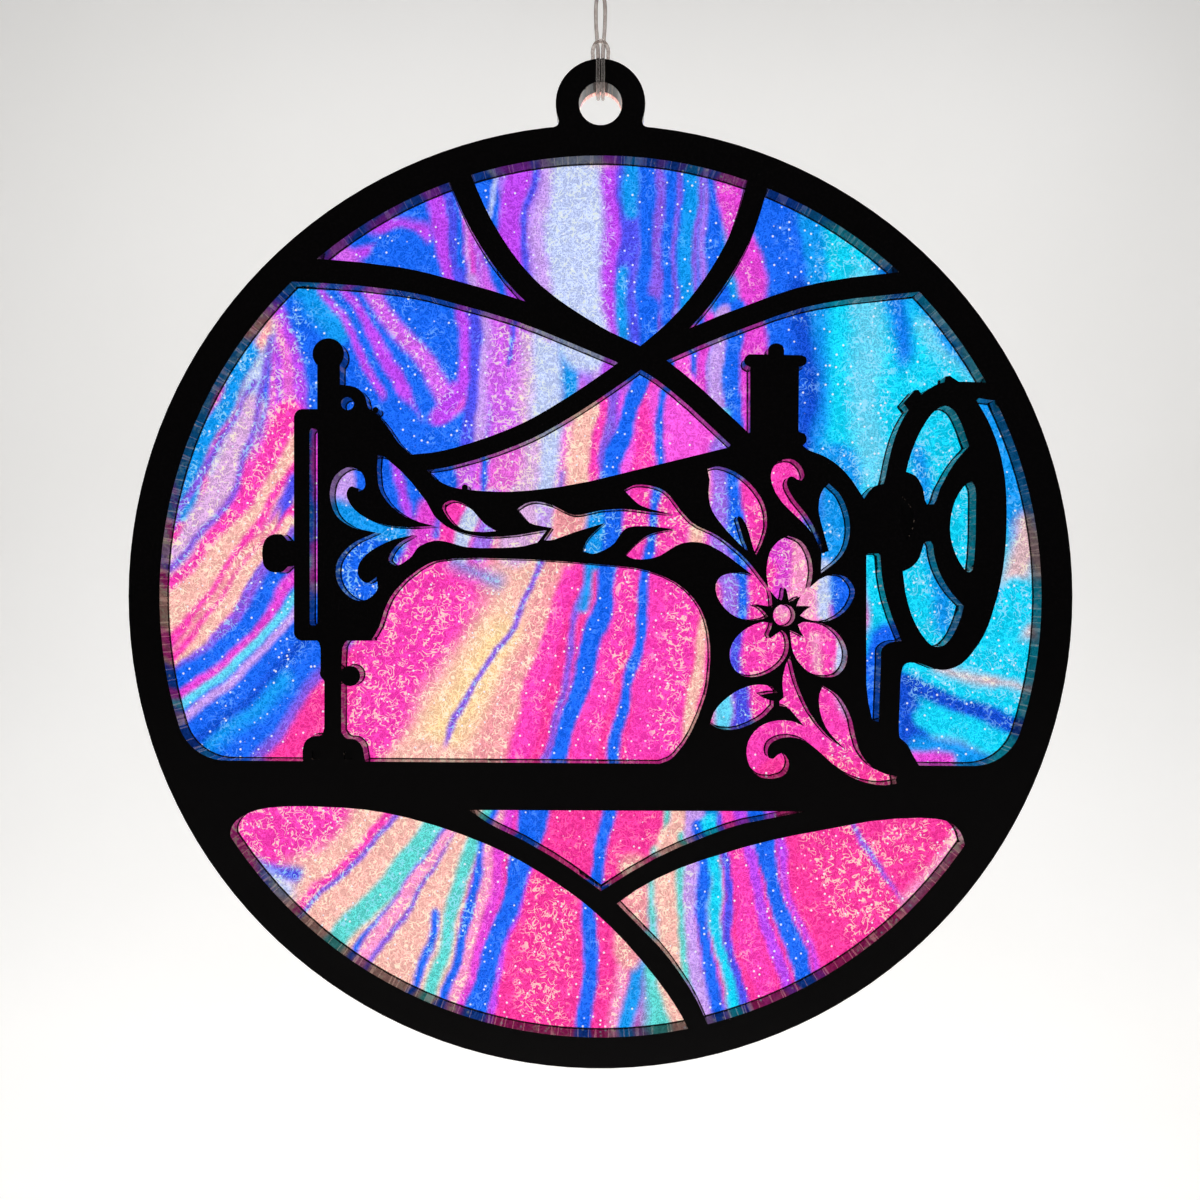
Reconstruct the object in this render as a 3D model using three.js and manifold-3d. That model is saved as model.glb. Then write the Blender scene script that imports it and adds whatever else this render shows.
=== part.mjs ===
// Round acrylic suncatcher that hangs from a clear cord.
// A black laser-cut lattice, with the side view of a sewing machine in it, lies in front of a thin
// coloured panel of the same outline. Both have a tab with a hole, and a loop of clear cord is
// hitched through it. Millimetres, +Z up, front towards -Y, origin at the middle of the tab's hole.

import * as THREE from "three";
import { mergeVertices } from "three/addons/utils/BufferGeometryUtils.js";
import Module from "manifold-3d";

const wasm = await Module();
wasm.setup();

// Driving dimensions of the disc, its ring and its tab
const DISC_DIAMETER = 152.4;
const RING_WIDTH = 5.0;
const TAB_DIAMETER = 14.5;
const TAB_RISE = 3.4;
const TAB_FILLET = 0.9;
const HOLE_DIAMETER = 7.0;

// Sheet thicknesses, and the adhesive film between the two sheets
const LATTICE_THICKNESS = 3.0;
const PANEL_THICKNESS = 1.0;
const FILM_GAP = 0.3;

// Widths of the tracery bars, where each one starts at the ring and where it ends
const LEFT_BAR_WIDTHS = [3.9, 3.4];
const RIGHT_BAR_WIDTHS = [3.5, 3.2];
const LONG_LEFT_BAR_WIDTHS = [3.7, 3.4];
const LONG_RIGHT_BAR_WIDTHS = [3.5, 2.7];

// Details of the machine
const BASE_CORNER_RADIUS = 8.0;
const HEAD_CORNER_RADIUS = 1.4;
const TAKE_UP_KNOB_DIAMETER = 5.1;
const THREAD_HOLE_DIAMETER = 2.1;
const HEAD_SLOT_WIDTH = 1.3;
const CLAMP_KNOB_DIAMETER = 3.3;
const NUB_DIAMETER = 1.0;
const FLOWER_EYE_DIAMETER = 3.55;
const FOOT_RECESS_SIZE = 1.4;
const RECESS_DEPTH = 0.4;

// Cord: the bend it takes round an edge, its gaps to the sheets and between its strands, half the
// distance between the strands above the hitch and between the loop's legs, and heights above the
// tab's top
const CORD_DIAMETER = 0.7;
const CORD_BEND_RADIUS = 1.3;
const CORD_PLAY = 0.12;
const STRAND_GAP = 0.1;
const STRAND_SPREAD = 0.72;
const LOOP_SPREAD = 1.24;
const LOOP_PEAK_RISE = 1.95;
const KNOT_RISE = 12.0;

// Knot that closes the loop, the turn of cord around it and its two tails
const KNOT_WIDTH = 2.4;
const KNOT_DEPTH = 1.9;
const KNOT_HEIGHT = 2.0;
const KNOT_GAP = 0.3;
const TURN_TILT = 0.35;
const TAIL_LENGTH = 3.0;
const TAIL_LEAN = 0.35;

// How finely curves are cut into straight steps: the greatest distance between curve and step, and
// the counts of steps
const CURVE_TOLERANCE = 0.045;
const CIRCLE_TOLERANCE = 0.02;
const FEWEST_CIRCLE_STEPS = 16;
const SAMPLES_A_POINT = 12;
const CORD_SIDES = 8;
const CORD_STEPS = 66;
const KNOT_STEPS = [12, 8];
const TURN_STEPS = [6, 14];

// How far a cutting shape runs past a face, and how near two corners are to count as one
const CUT_MARGIN = 1.0;
const MERGE_DISTANCE = 1e-5;

// The free outlines are drawn on a square grid, columns to the right and rows downwards.
// They keep their share of the disc: so many grid steps make its radius.
const DRAWN_RADIUS = 472;
const DRAWN_CENTRE_COLUMN = 600.5;
const DRAWN_CENTRE_ROW = 596.5;

// Sizes that follow from the ones above
const DISC_RADIUS = DISC_DIAMETER / 2;
const RING_INNER_RADIUS = DISC_RADIUS - RING_WIDTH;
const TAB_RADIUS = TAB_DIAMETER / 2;
const TAB_CENTRE = [0, DISC_RADIUS + TAB_RISE];
const GRID_STEP = DISC_RADIUS / DRAWN_RADIUS;
const STACK = LATTICE_THICKNESS + FILM_GAP + PANEL_THICKNESS;
const LATTICE_FRONT = STACK / 2;
const LATTICE_BACK = LATTICE_FRONT - LATTICE_THICKNESS;
const PANEL_FRONT = LATTICE_BACK - FILM_GAP;
const PANEL_BACK = PANEL_FRONT - PANEL_THICKNESS;

// Tracery bars: the middle line of each, from the ring to its lower end
const LEFT_BAR = [[262, 268], [355, 273.5], [411, 281], [463, 294], [520, 311], [575, 333], [632, 357]];
const RIGHT_BAR = [[950, 278], [888, 284], [845, 289], [799, 298], [751, 314.5], [704, 333], [648, 358]];
const LONG_LEFT_BAR = [
  [444, 140], [485, 231.5], [529, 289.5], [595, 336], [654, 365], [688, 391], [744, 443],
];
const LONG_RIGHT_BAR = [
  [767, 144], [752, 204], [738, 242], [710, 288.5], [680, 324], [641, 357.5], [567, 408.5], [518, 435],
  [444.5, 459], [400, 464],
];

// Base band under the machine, down to the bottom of the disc, and the three windows cut in it
const BASE_TOP_LEFT = [150, 760];
const BASE_TOP_RIGHT = [1050, 766.5];
const BASE_BOTTOM_ROW = 1080;
const LOWER_LEFT_WINDOW = [
  [[237, 856], [231, 840], [231, 829], [238, 819], [257, 810], [286, 806.4], [324, 806.8], [372, 810.6],
    [420, 821], [479, 841], [517, 859], [555, 882], [584, 903], [614, 930], [637, 955], [662, 986],
    [680, 1013]],
  [[700, 1052]], [[560, 1060]], [[330, 990]],
];
const MIDDLE_WINDOW = [
  [[469, 810], [488, 823], [526.5, 842], [565, 865]],
  [[601, 891], [632, 871.5], [660, 856], [699, 839], [738, 825], [776.5, 817]],
  [[805, 811.5]],
];
const LOWER_RIGHT_WINDOW = [
  [[617, 903.5], [641, 887], [680, 868], [738, 849], [776.5, 839], [834, 828], [872, 821], [910, 818],
    [932, 818.4], [949, 822], [959, 830], [964, 841]],
  [[966, 854]], [[880, 980]], [[760, 1060]],
  [[718, 1049], [697, 1001], [682, 976.5], [663, 951], [642, 929]],
];

// Machine: needle-bar post, thread guide and head on the left
const TAKE_UP_KNOB = [328.3, 354];
const POST_LEFT = 317.2;
const POST_RIGHT = 340;
const POST_BOTTOM = 419;
const HEAD_LEFT = 293.8;
const HEAD_RIGHT = 372;
const HEAD_TOP = 409;
const HEAD_BOTTOM = 640.7;
const THREAD_GUIDE = [
  [[340, 384.5], [351, 386], [358, 388.5], [365, 396], [368.5, 408], [376, 413.5], [386, 424.5], [397, 441]],
  [[411, 454.7]], [[400, 475]], [[340, 475]],
];
const THREAD_HOLE = [347.5, 403.5];
const GUIDE_NUB = [375.5, 410];
const ARM_NUB = [464.8, 487.5];
const HEAD_SLOT_COLUMN = 313.5;
const HEAD_SLOT_TOP = 428;
const HEAD_SLOT_BOTTOM = 626;
const SIDE_KNOB = [
  [[262, 553], [263, 545], [266, 538.5], [271, 535], [276, 534], [282, 534.5]],
  [[287.5, 540.5]], [[300, 541.5]], [[300, 565.5]],
  [[288, 566.5], [282, 572], [276, 572.5], [270, 571.5], [264, 566]],
];

// Needle shank and presser foot, from the head down to the base
const SHANK = [
  [[313, 638], [319, 642.5]],
  [[320.5, 648]], [[320.5, 669], [320, 675]], [[324.3, 681]], [[324.3, 728], [321.5, 735], [312, 736.5],
    [305.5, 741], [302.5, 751]],
  [[303.5, 770]], [[367, 770]],
  [[364.5, 758], [362, 746], [355, 739.5], [346, 738.2]],
  [[341.3, 732]], [[341.3, 670]], [[342.4, 648], [345, 642.5]],
  [[352, 638]],
];
const CLAMP_KNOB = [350, 676];
const FOOT_RECESSES = [[316, 755], [348, 755]];

// Arm, column and the foot of the column, with the arch below the arm as their lower edge
const ARM_AND_COLUMN = [
  [[345, 425]], [[409, 455]],
  [[431, 474], [437, 480], [452, 487], [475, 490.5], [505, 491.8], [540, 489.5], [580, 483.3],
    [620, 474.3], [660, 464.5], [700, 454.5]],
  [[728, 447.5]], [[752, 431]], [[799, 431]],
  [[802.9, 445.7], [809.4, 450.4], [822.9, 455.5], [837.3, 464.6], [850.8, 478.6]],
  [[864.1, 498.6], [869.6, 490.5], [875, 486]],
  [[883.7, 483.8]], [[915, 520]], [[925, 600]],
  [[912, 662], [904.5, 664.5], [901.5, 672.3], [900, 701.5], [898.9, 729.2]],
  [[899.7, 737.7], [907.5, 744.5], [913.1, 755.4]],
  [[920.5, 768]], [[920, 800]], [[655, 800]],
  [[658, 764.3], [670.1, 759.5], [679.7, 749.9], [690.3, 733.8], [700.6, 710.1], [707, 689.6],
    [710.3, 655], [707.9, 630], [701.5, 610.4], [690, 594.2], [677, 583.5], [660, 575], [640, 569],
    [600, 564.5], [540, 560], [500, 558.5], [475, 558], [450, 559], [431, 562.6], [408.6, 577],
    [392.2, 594.6], [384.6, 609.8], [379.2, 627]],
  [[373.6, 637]], [[370, 640.7]], [[345, 640.7]],
];

// Thread spool on the arm
const SPOOL_PIN = [
  [[768.1, 360]], [[768.1, 349.5], [769.5, 346.3], [772.4, 344], [775.8, 343.2], [779.6, 343.9], [783, 346]],
  [[784.2, 350]], [[784, 360]],
];
const SPOOL_FLANGE = [
  [[749, 354.2]], [[801.7, 355.2], [805.6, 356.9], [806.8, 360.5], [805.6, 364.1]],
  [[801, 366.7]], [[749, 366.7], [745.3, 364.5], [744, 360.5], [745.5, 356.9]],
];
const SPOOL_BODY = [[[750.1, 360]], [[799.2, 360]], [[798.4, 440]], [[750.1, 440]]];
const SPOOL_FOOT = [
  [[795, 432]], [[800, 432], [804.6, 433.8], [806.7, 438], [806.3, 442]], [[802.9, 445.7]], [[795, 450]],
];

// Handwheel on the right
const HANDWHEEL = [
  [[883.7, 483.8]],
  [[885.8, 475.7], [890.8, 451.7], [899.2, 426.3], [911.9, 405.1], [924.6, 391.7], [941.5, 382.8],
    [957.1, 381.6]],
  [[1000, 383]], [[1010, 402]], [[988.5, 399.8]], [[978.9, 398.1]],
  [[976.5, 400.2], [986, 416.4], [995.1, 436.9], [1001.5, 458.7], [1005.7, 484.1], [1006.7, 510.9],
    [1006.1, 539.1], [1003.3, 567.3], [996.9, 598.5], [985.4, 632.3], [973.8, 650.8], [961.5, 663.8],
    [949.2, 669.2], [936.9, 669.5], [920.8, 663.5]],
  [[908, 662]], [[890, 640]], [[880, 560]],
];
const WHEEL_STOP = [[[903.5, 403]], [[914.5, 390]], [[918.3, 389.8]], [[923, 396]], [[910, 412]]];
const WHEEL_SPUR = [[[944, 384]], [[945.5, 376.4]], [[950, 375.8]], [[960, 382.5]]];

// Openings between the handwheel's hub and rim, and the slit beside the column
const UPPER_WHEEL_WINDOW = [
  [[906.3, 471.7], [915.5, 475.9], [922.5, 486.9], [925.3, 501]],
  [[927.2, 504.4]], [[933.8, 504.2]],
  [[935.9, 501], [940.1, 488.3], [950, 470], [960.3, 455.5]],
  [[969.1, 446], [961.3, 423.5], [953.5, 410], [945.1, 405.8], [934.5, 411.1], [919.7, 432.6],
    [909.4, 458.7]],
];
const LOWER_WHEEL_WINDOW = [
  [[902.8, 571.5], [910.8, 567.7], [918.8, 559.2], [924.3, 543]],
  [[926.9, 541.2]], [[930.8, 541.5]],
  [[932.9, 545], [934.6, 556.9], [940.8, 575.4], [952.3, 593.8]],
  [[963.8, 606.2], [960, 620], [950.8, 638.5], [941.5, 646.5], [932.3, 645.8], [922.3, 635.4],
    [912.3, 616.9], [905.4, 592.3]],
];
const RIGHT_WHEEL_WINDOW = [
  [[972, 480.8], [975.4, 488], [976, 506.7], [975.7, 536.3], [974, 561.7]],
  [[972.9, 569.4], [969.8, 572.3], [966.2, 571.1], [957.8, 558.9], [951, 539.1], [950.6, 519.4],
    [955.7, 499.6], [964.8, 485.5]],
];
const COLUMN_SLIT = [
  [[866.4, 555.5]], [[868.5, 553.5]], [[878.5, 553.5]],
  [[880.3, 555.5], [881.5, 573.8], [886.9, 601.5], [895.4, 626.2]],
  [[901.5, 641], [889.2, 642.8], [881.8, 649]],
  [[880.8, 664], [879.2, 709.2]],
  [[878.6, 722]], [[872.3, 720], [868.5, 703.1]], [[866.4, 685]],
];
const HUB_RECESS = [
  [[902.4, 496], [909, 504], [914, 514], [914, 524], [911, 533]],
  [[907, 541], [901.5, 531], [899, 516]],
];

// Ornament on the arm: a leaf that runs into two scrolls, and a small leaf by itself
const LEAF_AND_SCROLLS = [
  [[378, 455], [377, 470], [380, 490], [391, 506], [410, 519]],
  [[434.5, 526], [400, 527], [372, 521], [353, 508], [346.5, 494], [350.5, 486.5]],
  [[358, 488.5]],
  [[359, 491.5], [363, 489.5], [365.5, 484], [361, 472], [349, 467], [335, 476], [329.8, 494], [336, 515],
    [352, 527]],
  [[376, 532.5], [352, 544], [338, 560], [336, 576], [342, 590], [356, 600.3], [368, 599], [377.5, 589]],
  [[376.5, 577], [367, 583], [358.5, 576.5], [358.5, 565], [368, 553], [392, 540]],
  [[414, 535], [397, 545], [388.5, 560], [396, 565.5], [410, 558], [419, 546.5], [437, 540.5], [465, 547],
    [495, 548], [522, 546.5]],
  [[537.5, 542.5]],
  [[547, 530], [514, 535.5], [480, 536.5], [452, 529], [436, 518], [426, 501], [404, 474]],
  [[384, 456.5]],
];
const SMALL_LEAF = [
  [[497, 531], [480, 532], [459, 528], [446, 515], [442.5, 506], [451, 500.5], [468, 506], [483, 522]],
];

// Vine along the arm, with its leaves, down to the three upper petals of the flower
const VINE_AND_PETALS = [
  [[517, 509], [527, 503], [537, 501.5], [553, 505.5], [574, 515], [600, 510.5], [625, 509], [650, 512]],
  [[673.5, 514.5], [658, 511], [640, 505]],
  [[624, 490], [635, 485], [652, 486], [666, 492], [682, 512], [694, 524], [718, 536], [743, 556],
    [757, 572]],
  [[768.5, 587.6], [766.5, 570.6], [770.4, 551], [779.6, 540.2]],
  [[788.5, 535.8], [801.5, 541.5], [809.6, 554.2], [812.7, 570], [811.9, 578.5]],
  [[810, 587.3], [820.4, 578.7], [833, 574.6], [846, 577.3], [854.6, 590], [851, 603.5], [840.6, 615],
    [824, 621.8], [806.5, 619]],
  [[800, 615.6], [804.5, 610.8]],
  [[810.9, 606.3]],
  [[796.2, 606.6], [798.2, 601]],
  [[800.8, 596.5], [796, 598], [793, 600.5]],
  [[789, 602], [787.6, 594], [786, 589], [784.6, 587.8], [783.6, 590], [783, 596]],
  [[781.6, 600.3], [777, 598.5], [773.2, 593.8]],
  [[769.9, 590.4], [771.3, 596]],
  [[772.3, 607.2], [759.2, 604.8]],
  [[753.8, 605.4], [759, 607.3], [764, 611.5]],
  [[768, 616.5], [762.7, 619], [750, 620.5], [736.2, 617.1], [723.5, 606.9], [716.8, 595.4],
    [715.8, 584.4], [721.2, 576.3], [733.3, 572.1], [745, 572.8]],
  [[753, 575.2], [742, 567], [722, 552], [703, 543], [683, 543], [660, 556], [642, 559.5], [631, 558]],
  [[626, 555], [635, 545], [650, 534.5]],
  [[674.5, 529], [645, 526], [626, 528.5], [613, 544.5], [594, 553.7]],
  [[582.5, 551], [588, 539]],
  [[604.5, 523], [575, 532], [552, 540]],
  [[543.5, 540.5]],
  [[552, 528], [541, 526], [529, 522.5]],
];
const LOWER_LEFT_PETAL = [
  [[772.4, 622.8], [766.2, 621.7], [755.8, 623.9], [744.2, 630], [734.4, 639.8], [729.8, 651.9],
    [731.8, 665.2], [740.8, 674.8], [752.9, 677], [766.2, 673.8], [778.8, 665.8], [786.7, 655.4],
    [788.8, 645], [786.3, 634.6]],
  [[781.7, 630.3], [776.5, 633.8]],
  [[770, 638.3], [768.2, 635], [771, 628.5]],
];
const LOWER_RIGHT_PETAL = [
  [[789.8, 630.4], [796, 632.8]],
  [[804, 637.3], [800.2, 630.6]],
  [[797.9, 624.6], [803.7, 621.9], [815.8, 622.4], [827.3, 625.6], [838.3, 634], [845.2, 645],
    [847.4, 656.5], [844.6, 667.5], [836.5, 675.6], [822.7, 677], [810, 672.7], [799.6, 663.5],
    [792.7, 650.8]],
];
const FLOWER_EYE = [784.1, 615.2];

// Leaves and tendrils on the column
const SPLIT_LEAF = [
  [[707.4, 469], [718, 466.5], [735, 472], [752, 485.5], [764, 504], [767, 524], [762, 543]],
  [[756, 555.2], [753, 547], [746, 524], [741.5, 517.5]],
  [[738.5, 516]],
  [[737, 518.5], [740, 528], [744, 541]],
  [[749.2, 553], [738, 542.6], [722, 525], [711.8, 510], [708.6, 494], [709.7, 480]],
];
const HOOK_AND_LEAF = [
  [[828.9, 483.6], [839, 493.1], [846.5, 508.1], [850, 528], [846.5, 547.3], [837.3, 560.6]],
  [[820.9, 573.3]],
  [[821.6, 553.9], [817.1, 541.5], [808.5, 528.3], [792.3, 512.7], [780.8, 500.6], [772.7, 486.2],
    [771.1, 473.5], [775.6, 464.2], [784.2, 459.4], [793.5, 459.8], [801.5, 467.1], [804.3, 475.8]],
  [[801.5, 480.4], [797.2, 479.4], [793.5, 476.7], [788.8, 477.2], [786.8, 484.4], [793.5, 498.3],
    [807.3, 515.6], [818.8, 535.8]],
  [[822.8, 552.6]],
  [[828.9, 551.3], [825.2, 536.9], [820.9, 521.9], [818.6, 509.2], [820, 496.5], [823.5, 489]],
];
const STEM_AND_SCROLL = [
  [[790, 656.5], [792.2, 666.2], [796.9, 683.7], [809.7, 712.6], [826.5, 734.8], [838, 744.5]],
  [[846.1, 749.9], [834.6, 738.8], [825.2, 726.1], [819.8, 710.6], [819.1, 695.8]],
  [[822.8, 685.8], [837.3, 695.1], [846.1, 707.2], [852.1, 721.3], [855.5, 737.5], [860.2, 752.3],
    [869.6, 765.1], [883.1, 773.2]],
  [[897.2, 776.3]], [[895.6, 779.4]],
  [[896.8, 783.7], [884.4, 785.3], [868.3, 783.3], [850.8, 776.8], [834.6, 765.8], [821.2, 753.4],
    [805, 741], [792.9, 737.2], [780.8, 738.2], [770.7, 743.6], [767.4, 751], [769, 757.8],
    [773.5, 758.6], [778, 754.6], [782.6, 753.2], [788.2, 759.7], [788.8, 767], [784.8, 774.5],
    [772.7, 778.8], [759.2, 776.5], [749.8, 766.4], [746.4, 751], [750.1, 737.5], [760.6, 726.1],
    [775.4, 720.7], [791.5, 721.1]],
  [[804.1, 726.1], [796.9, 717.3], [788.2, 707.9]],
  [[779.5, 705.5]], [[779.6, 701]],
  [[783.7, 697.6], [782.4, 683], [783.5, 672.9], [786.5, 663]],
];
const SIDE_LEAF = [
  [[710.1, 723.4], [714.8, 710.6], [726.9, 697.8], [741.7, 688.6], [757.9, 684.6], [771.3, 686.8]],
  [[777.4, 692.8], [770, 693.1]],
  [[760.2, 695], [767.3, 699.6]],
  [[773.5, 701]],
  [[773.4, 706.5], [764.6, 716], [749.8, 724.7], [733.7, 729.7], [717.5, 728.1]],
];

const black = new THREE.MeshStandardMaterial({ color: 0x0b0a0a, roughness: 0.12, metalness: 0 });
const marbled = new THREE.MeshStandardMaterial({ color: 0x8f6bdc, roughness: 0.25, metalness: 0 });
const clear = new THREE.MeshStandardMaterial({ color: 0xe9e6e2, roughness: 0.1, metalness: 0 });

// A point of the drawing grid in millimetres from the disc's centre
function place([column, row]) {
  return [(column - DRAWN_CENTRE_COLUMN) * GRID_STEP, (DRAWN_CENTRE_ROW - row) * GRID_STEP];
}

// Distance of point p from the line through a and b
function offLine(p, a, b) {
  const [dx, dy] = [b[0] - a[0], b[1] - a[1]];
  return Math.abs((p[0] - a[0]) * dy - (p[1] - a[1]) * dx) / Math.hypot(dx, dy);
}

// Leaves out the points of a line that lie within the tolerance of its longer steps
function thin(points) {
  const [first, last] = [points[0], points[points.length - 1]];
  let farthest = 0;
  let at = 0;
  for (let i = 1; i < points.length - 1; i += 1) {
    const distance = offLine(points[i], first, last);
    if (distance > farthest) {
      farthest = distance;
      at = i;
    }
  }
  if (farthest <= CURVE_TOLERANCE) {
    return [first, last];
  }
  return [...thin(points.slice(0, at + 1)).slice(0, -1), ...thin(points.slice(at))];
}

// A smooth line through points in millimetres, from the first to the last
function smooth(points) {
  if (points.length === 2) {
    return points;
  }
  const knots = points.map(([x, y]) => new THREE.Vector3(x, y, 0));
  const curve = new THREE.CatmullRomCurve3(knots, false, "centripetal");
  const samples = curve.getPoints(SAMPLES_A_POINT * (points.length - 1));
  return thin(samples.map((p) => [p.x, p.y]));
}

// A closed outline of smooth runs that meet at corners. Each run starts at a corner and ends at
// the first point of the next one.
function outline(runs) {
  return runs.flatMap((run, i) => {
    const corner = runs[(i + 1) % runs.length][0];
    return smooth([...run, corner].map(place)).slice(0, -1);
  });
}

// A bar of changing width along a smooth middle line
function bar(middle, [startWidth, endWidth]) {
  const line = smooth(middle.map(place));
  const sides = [[], []];
  line.forEach(([x, y], i) => {
    const [before, after] = [line[Math.max(i - 1, 0)], line[Math.min(i + 1, line.length - 1)]];
    const length = Math.hypot(after[0] - before[0], after[1] - before[1]);
    const half = (startWidth + (endWidth - startWidth) * i / (line.length - 1)) / 2;
    const across = [-(after[1] - before[1]) / length * half, (after[0] - before[0]) / length * half];
    sides[0].push([x + across[0], y + across[1]]);
    sides[1].unshift([x - across[0], y - across[1]]);
  });
  return [...sides[0], ...sides[1]];
}

// The points of a circle, in steps fine enough for the tolerance
function circle([x, y], radius) {
  const step = 2 * Math.acos(1 - CIRCLE_TOLERANCE / radius);
  const count = Math.max(FEWEST_CIRCLE_STEPS, Math.ceil(2 * Math.PI / step));
  return Array.from({ length: count }, (_, i) => {
    const angle = 2 * Math.PI * i / count;
    return [x + radius * Math.cos(angle), y + radius * Math.sin(angle)];
  });
}

// An upright slot with round ends
function slot(x, bottom, top, width) {
  const round = circle([x, 0], width / 2);
  return round.map(([px, py]) => [px, py >= 0 ? py + top - width / 2 : py + bottom + width / 2]);
}

// A closed geometry as a solid that can be cut and joined
function solidOf(geometry) {
  geometry.deleteAttribute("normal");
  geometry.deleteAttribute("uv");
  const merged = mergeVertices(geometry, MERGE_DISTANCE);
  const vertProperties = new Float32Array(merged.attributes.position.array);
  const triVerts = new Uint32Array(merged.index.array);
  return new wasm.Manifold(new wasm.Mesh({ numProp: 3, vertProperties, triVerts }));
}

// A flat shape from an outline, between two levels of the sheet's thickness
function prism(points, low, high) {
  const shape = new THREE.Shape(points.map(([x, y]) => new THREE.Vector2(x, y)));
  const geometry = new THREE.ExtrudeGeometry(shape, { depth: high - low, bevelEnabled: false });
  geometry.translate(0, 0, low);
  return solidOf(geometry);
}

// The same, a little past both faces of a sheet, for cutting
function cutter(points, low, high) {
  return prism(points, low - CUT_MARGIN, high + CUT_MARGIN);
}

function join(solids) {
  return solids.reduce((whole, solid) => whole.add(solid));
}

function cut(solid, cutters) {
  return cutters.reduce((rest, piece) => rest.subtract(piece), solid);
}

// The rounded corner between the tab and the disc on one side: -1 is left, 1 is right
function tabFillet(side, low, high) {
  const fromDisc = DISC_RADIUS + TAB_FILLET;
  const fromTab = TAB_RADIUS + TAB_FILLET;
  const height = TAB_CENTRE[1];
  const y = (fromDisc ** 2 - fromTab ** 2 + height ** 2) / (2 * height);
  const x = side * Math.sqrt(fromDisc ** 2 - y ** 2);
  const onDisc = [x * DISC_RADIUS / fromDisc, y * DISC_RADIUS / fromDisc];
  const onTab = [x * TAB_RADIUS / fromTab, height + (y - height) * TAB_RADIUS / fromTab];
  const wedge = prism([[0, DISC_RADIUS - RING_WIDTH / 2], onDisc, [x, y], onTab, TAB_CENTRE], low, high);
  return wedge.subtract(cutter(circle([x, y], TAB_FILLET), low, high));
}

// The whole outline of a sheet, with its tab and the hole in it
function sheet(low, high) {
  const disc = prism(circle([0, 0], DISC_RADIUS), low, high);
  const tab = prism(circle(TAB_CENTRE, TAB_RADIUS), low, high);
  const body = join([disc, tab, tabFillet(-1, low, high), tabFillet(1, low, high)]);
  return body.subtract(cutter(circle(TAB_CENTRE, HOLE_DIAMETER / 2), low, high));
}

// The rounded corner between the base band and the ring on one side. Its circle's middle is one
// radius above the band's sloping top and one radius inside the ring.
function baseCorner(side, low, high) {
  const reach = RING_INNER_RADIUS - BASE_CORNER_RADIUS;
  const [left, right] = [place(BASE_TOP_LEFT), place(BASE_TOP_RIGHT)];
  const slope = (right[1] - left[1]) / (right[0] - left[0]);
  const level = left[1] - slope * left[0] + BASE_CORNER_RADIUS;
  const root = Math.sqrt((1 + slope ** 2) * reach ** 2 - level ** 2);
  const x = (side * root - slope * level) / (1 + slope ** 2);
  const y = level + slope * x;
  const onRing = [x * RING_INNER_RADIUS / reach, y * RING_INNER_RADIUS / reach];
  const middle = RING_INNER_RADIUS + RING_WIDTH / 2;
  const inRing = [x * middle / reach, y * middle / reach];
  const below = y - 2 * BASE_CORNER_RADIUS;
  const inBase = [side * Math.sqrt(middle ** 2 - below ** 2), below];
  const wedge = prism([[x, y], onRing, inRing, inBase, [x, below]], low, high);
  return wedge.subtract(cutter(circle([x, y], BASE_CORNER_RADIUS), low, high));
}

// The base band and what is left of the disc below it, with its three windows
function base(low, high) {
  const corners = [BASE_TOP_LEFT, BASE_TOP_RIGHT].map(place);
  const bottom = place([DRAWN_CENTRE_COLUMN, BASE_BOTTOM_ROW])[1];
  const block = [corners[0], corners[1], [corners[1][0], bottom], [corners[0][0], bottom]];
  const inside = cutter(circle([0, 0], RING_INNER_RADIUS), low, high);
  const windows = [LOWER_LEFT_WINDOW, MIDDLE_WINDOW, LOWER_RIGHT_WINDOW].map(outline);
  const cutters = windows.map((points) => cutter(points, low, high).intersect(inside));
  const corner = [baseCorner(-1, low, high), baseCorner(1, low, high)];
  return join([cut(prism(block, low, high), cutters), ...corner]);
}

function roundedHead(low, high) {
  const [left, top] = place([HEAD_LEFT, HEAD_TOP]);
  const [right, bottom] = place([HEAD_RIGHT, HEAD_BOTTOM]);
  const r = HEAD_CORNER_RADIUS;
  const upper = circle([left + r, top - r], r).filter(([x, y]) => x <= left + r && y >= top - r);
  const lower = circle([left + r, bottom + r], r).filter(([x, y]) => x <= left + r && y <= bottom + r);
  return prism([[right, top], ...upper, ...lower, [right, bottom]], low, high);
}

function machine(low, high) {
  const [postLeft, postTop] = place([POST_LEFT, TAKE_UP_KNOB[1]]);
  const [postRight, postBottom] = place([POST_RIGHT, POST_BOTTOM]);
  const post = [[postLeft, postTop], [postRight, postTop], [postRight, postBottom], [postLeft, postBottom]];
  const rounds = [
    circle(place(TAKE_UP_KNOB), TAKE_UP_KNOB_DIAMETER / 2),
    circle(place(CLAMP_KNOB), CLAMP_KNOB_DIAMETER / 2),
    circle(place(GUIDE_NUB), NUB_DIAMETER / 2),
    circle(place(ARM_NUB), NUB_DIAMETER / 2),
  ];
  const drawn = [
    THREAD_GUIDE, SIDE_KNOB, SHANK, ARM_AND_COLUMN, SPOOL_PIN, SPOOL_FLANGE, SPOOL_BODY, SPOOL_FOOT,
    HANDWHEEL, WHEEL_STOP, WHEEL_SPUR,
  ].map(outline);
  const shapes = [post, ...rounds, ...drawn].map((points) => prism(points, low, high));
  return join([roundedHead(low, high), ...shapes]);
}

function tracery(low, high) {
  const bars = [
    bar(LEFT_BAR, LEFT_BAR_WIDTHS),
    bar(RIGHT_BAR, RIGHT_BAR_WIDTHS),
    bar(LONG_LEFT_BAR, LONG_LEFT_BAR_WIDTHS),
    bar(LONG_RIGHT_BAR, LONG_RIGHT_BAR_WIDTHS),
  ];
  return join(bars.map((points) => prism(points, low, high)));
}

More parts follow.
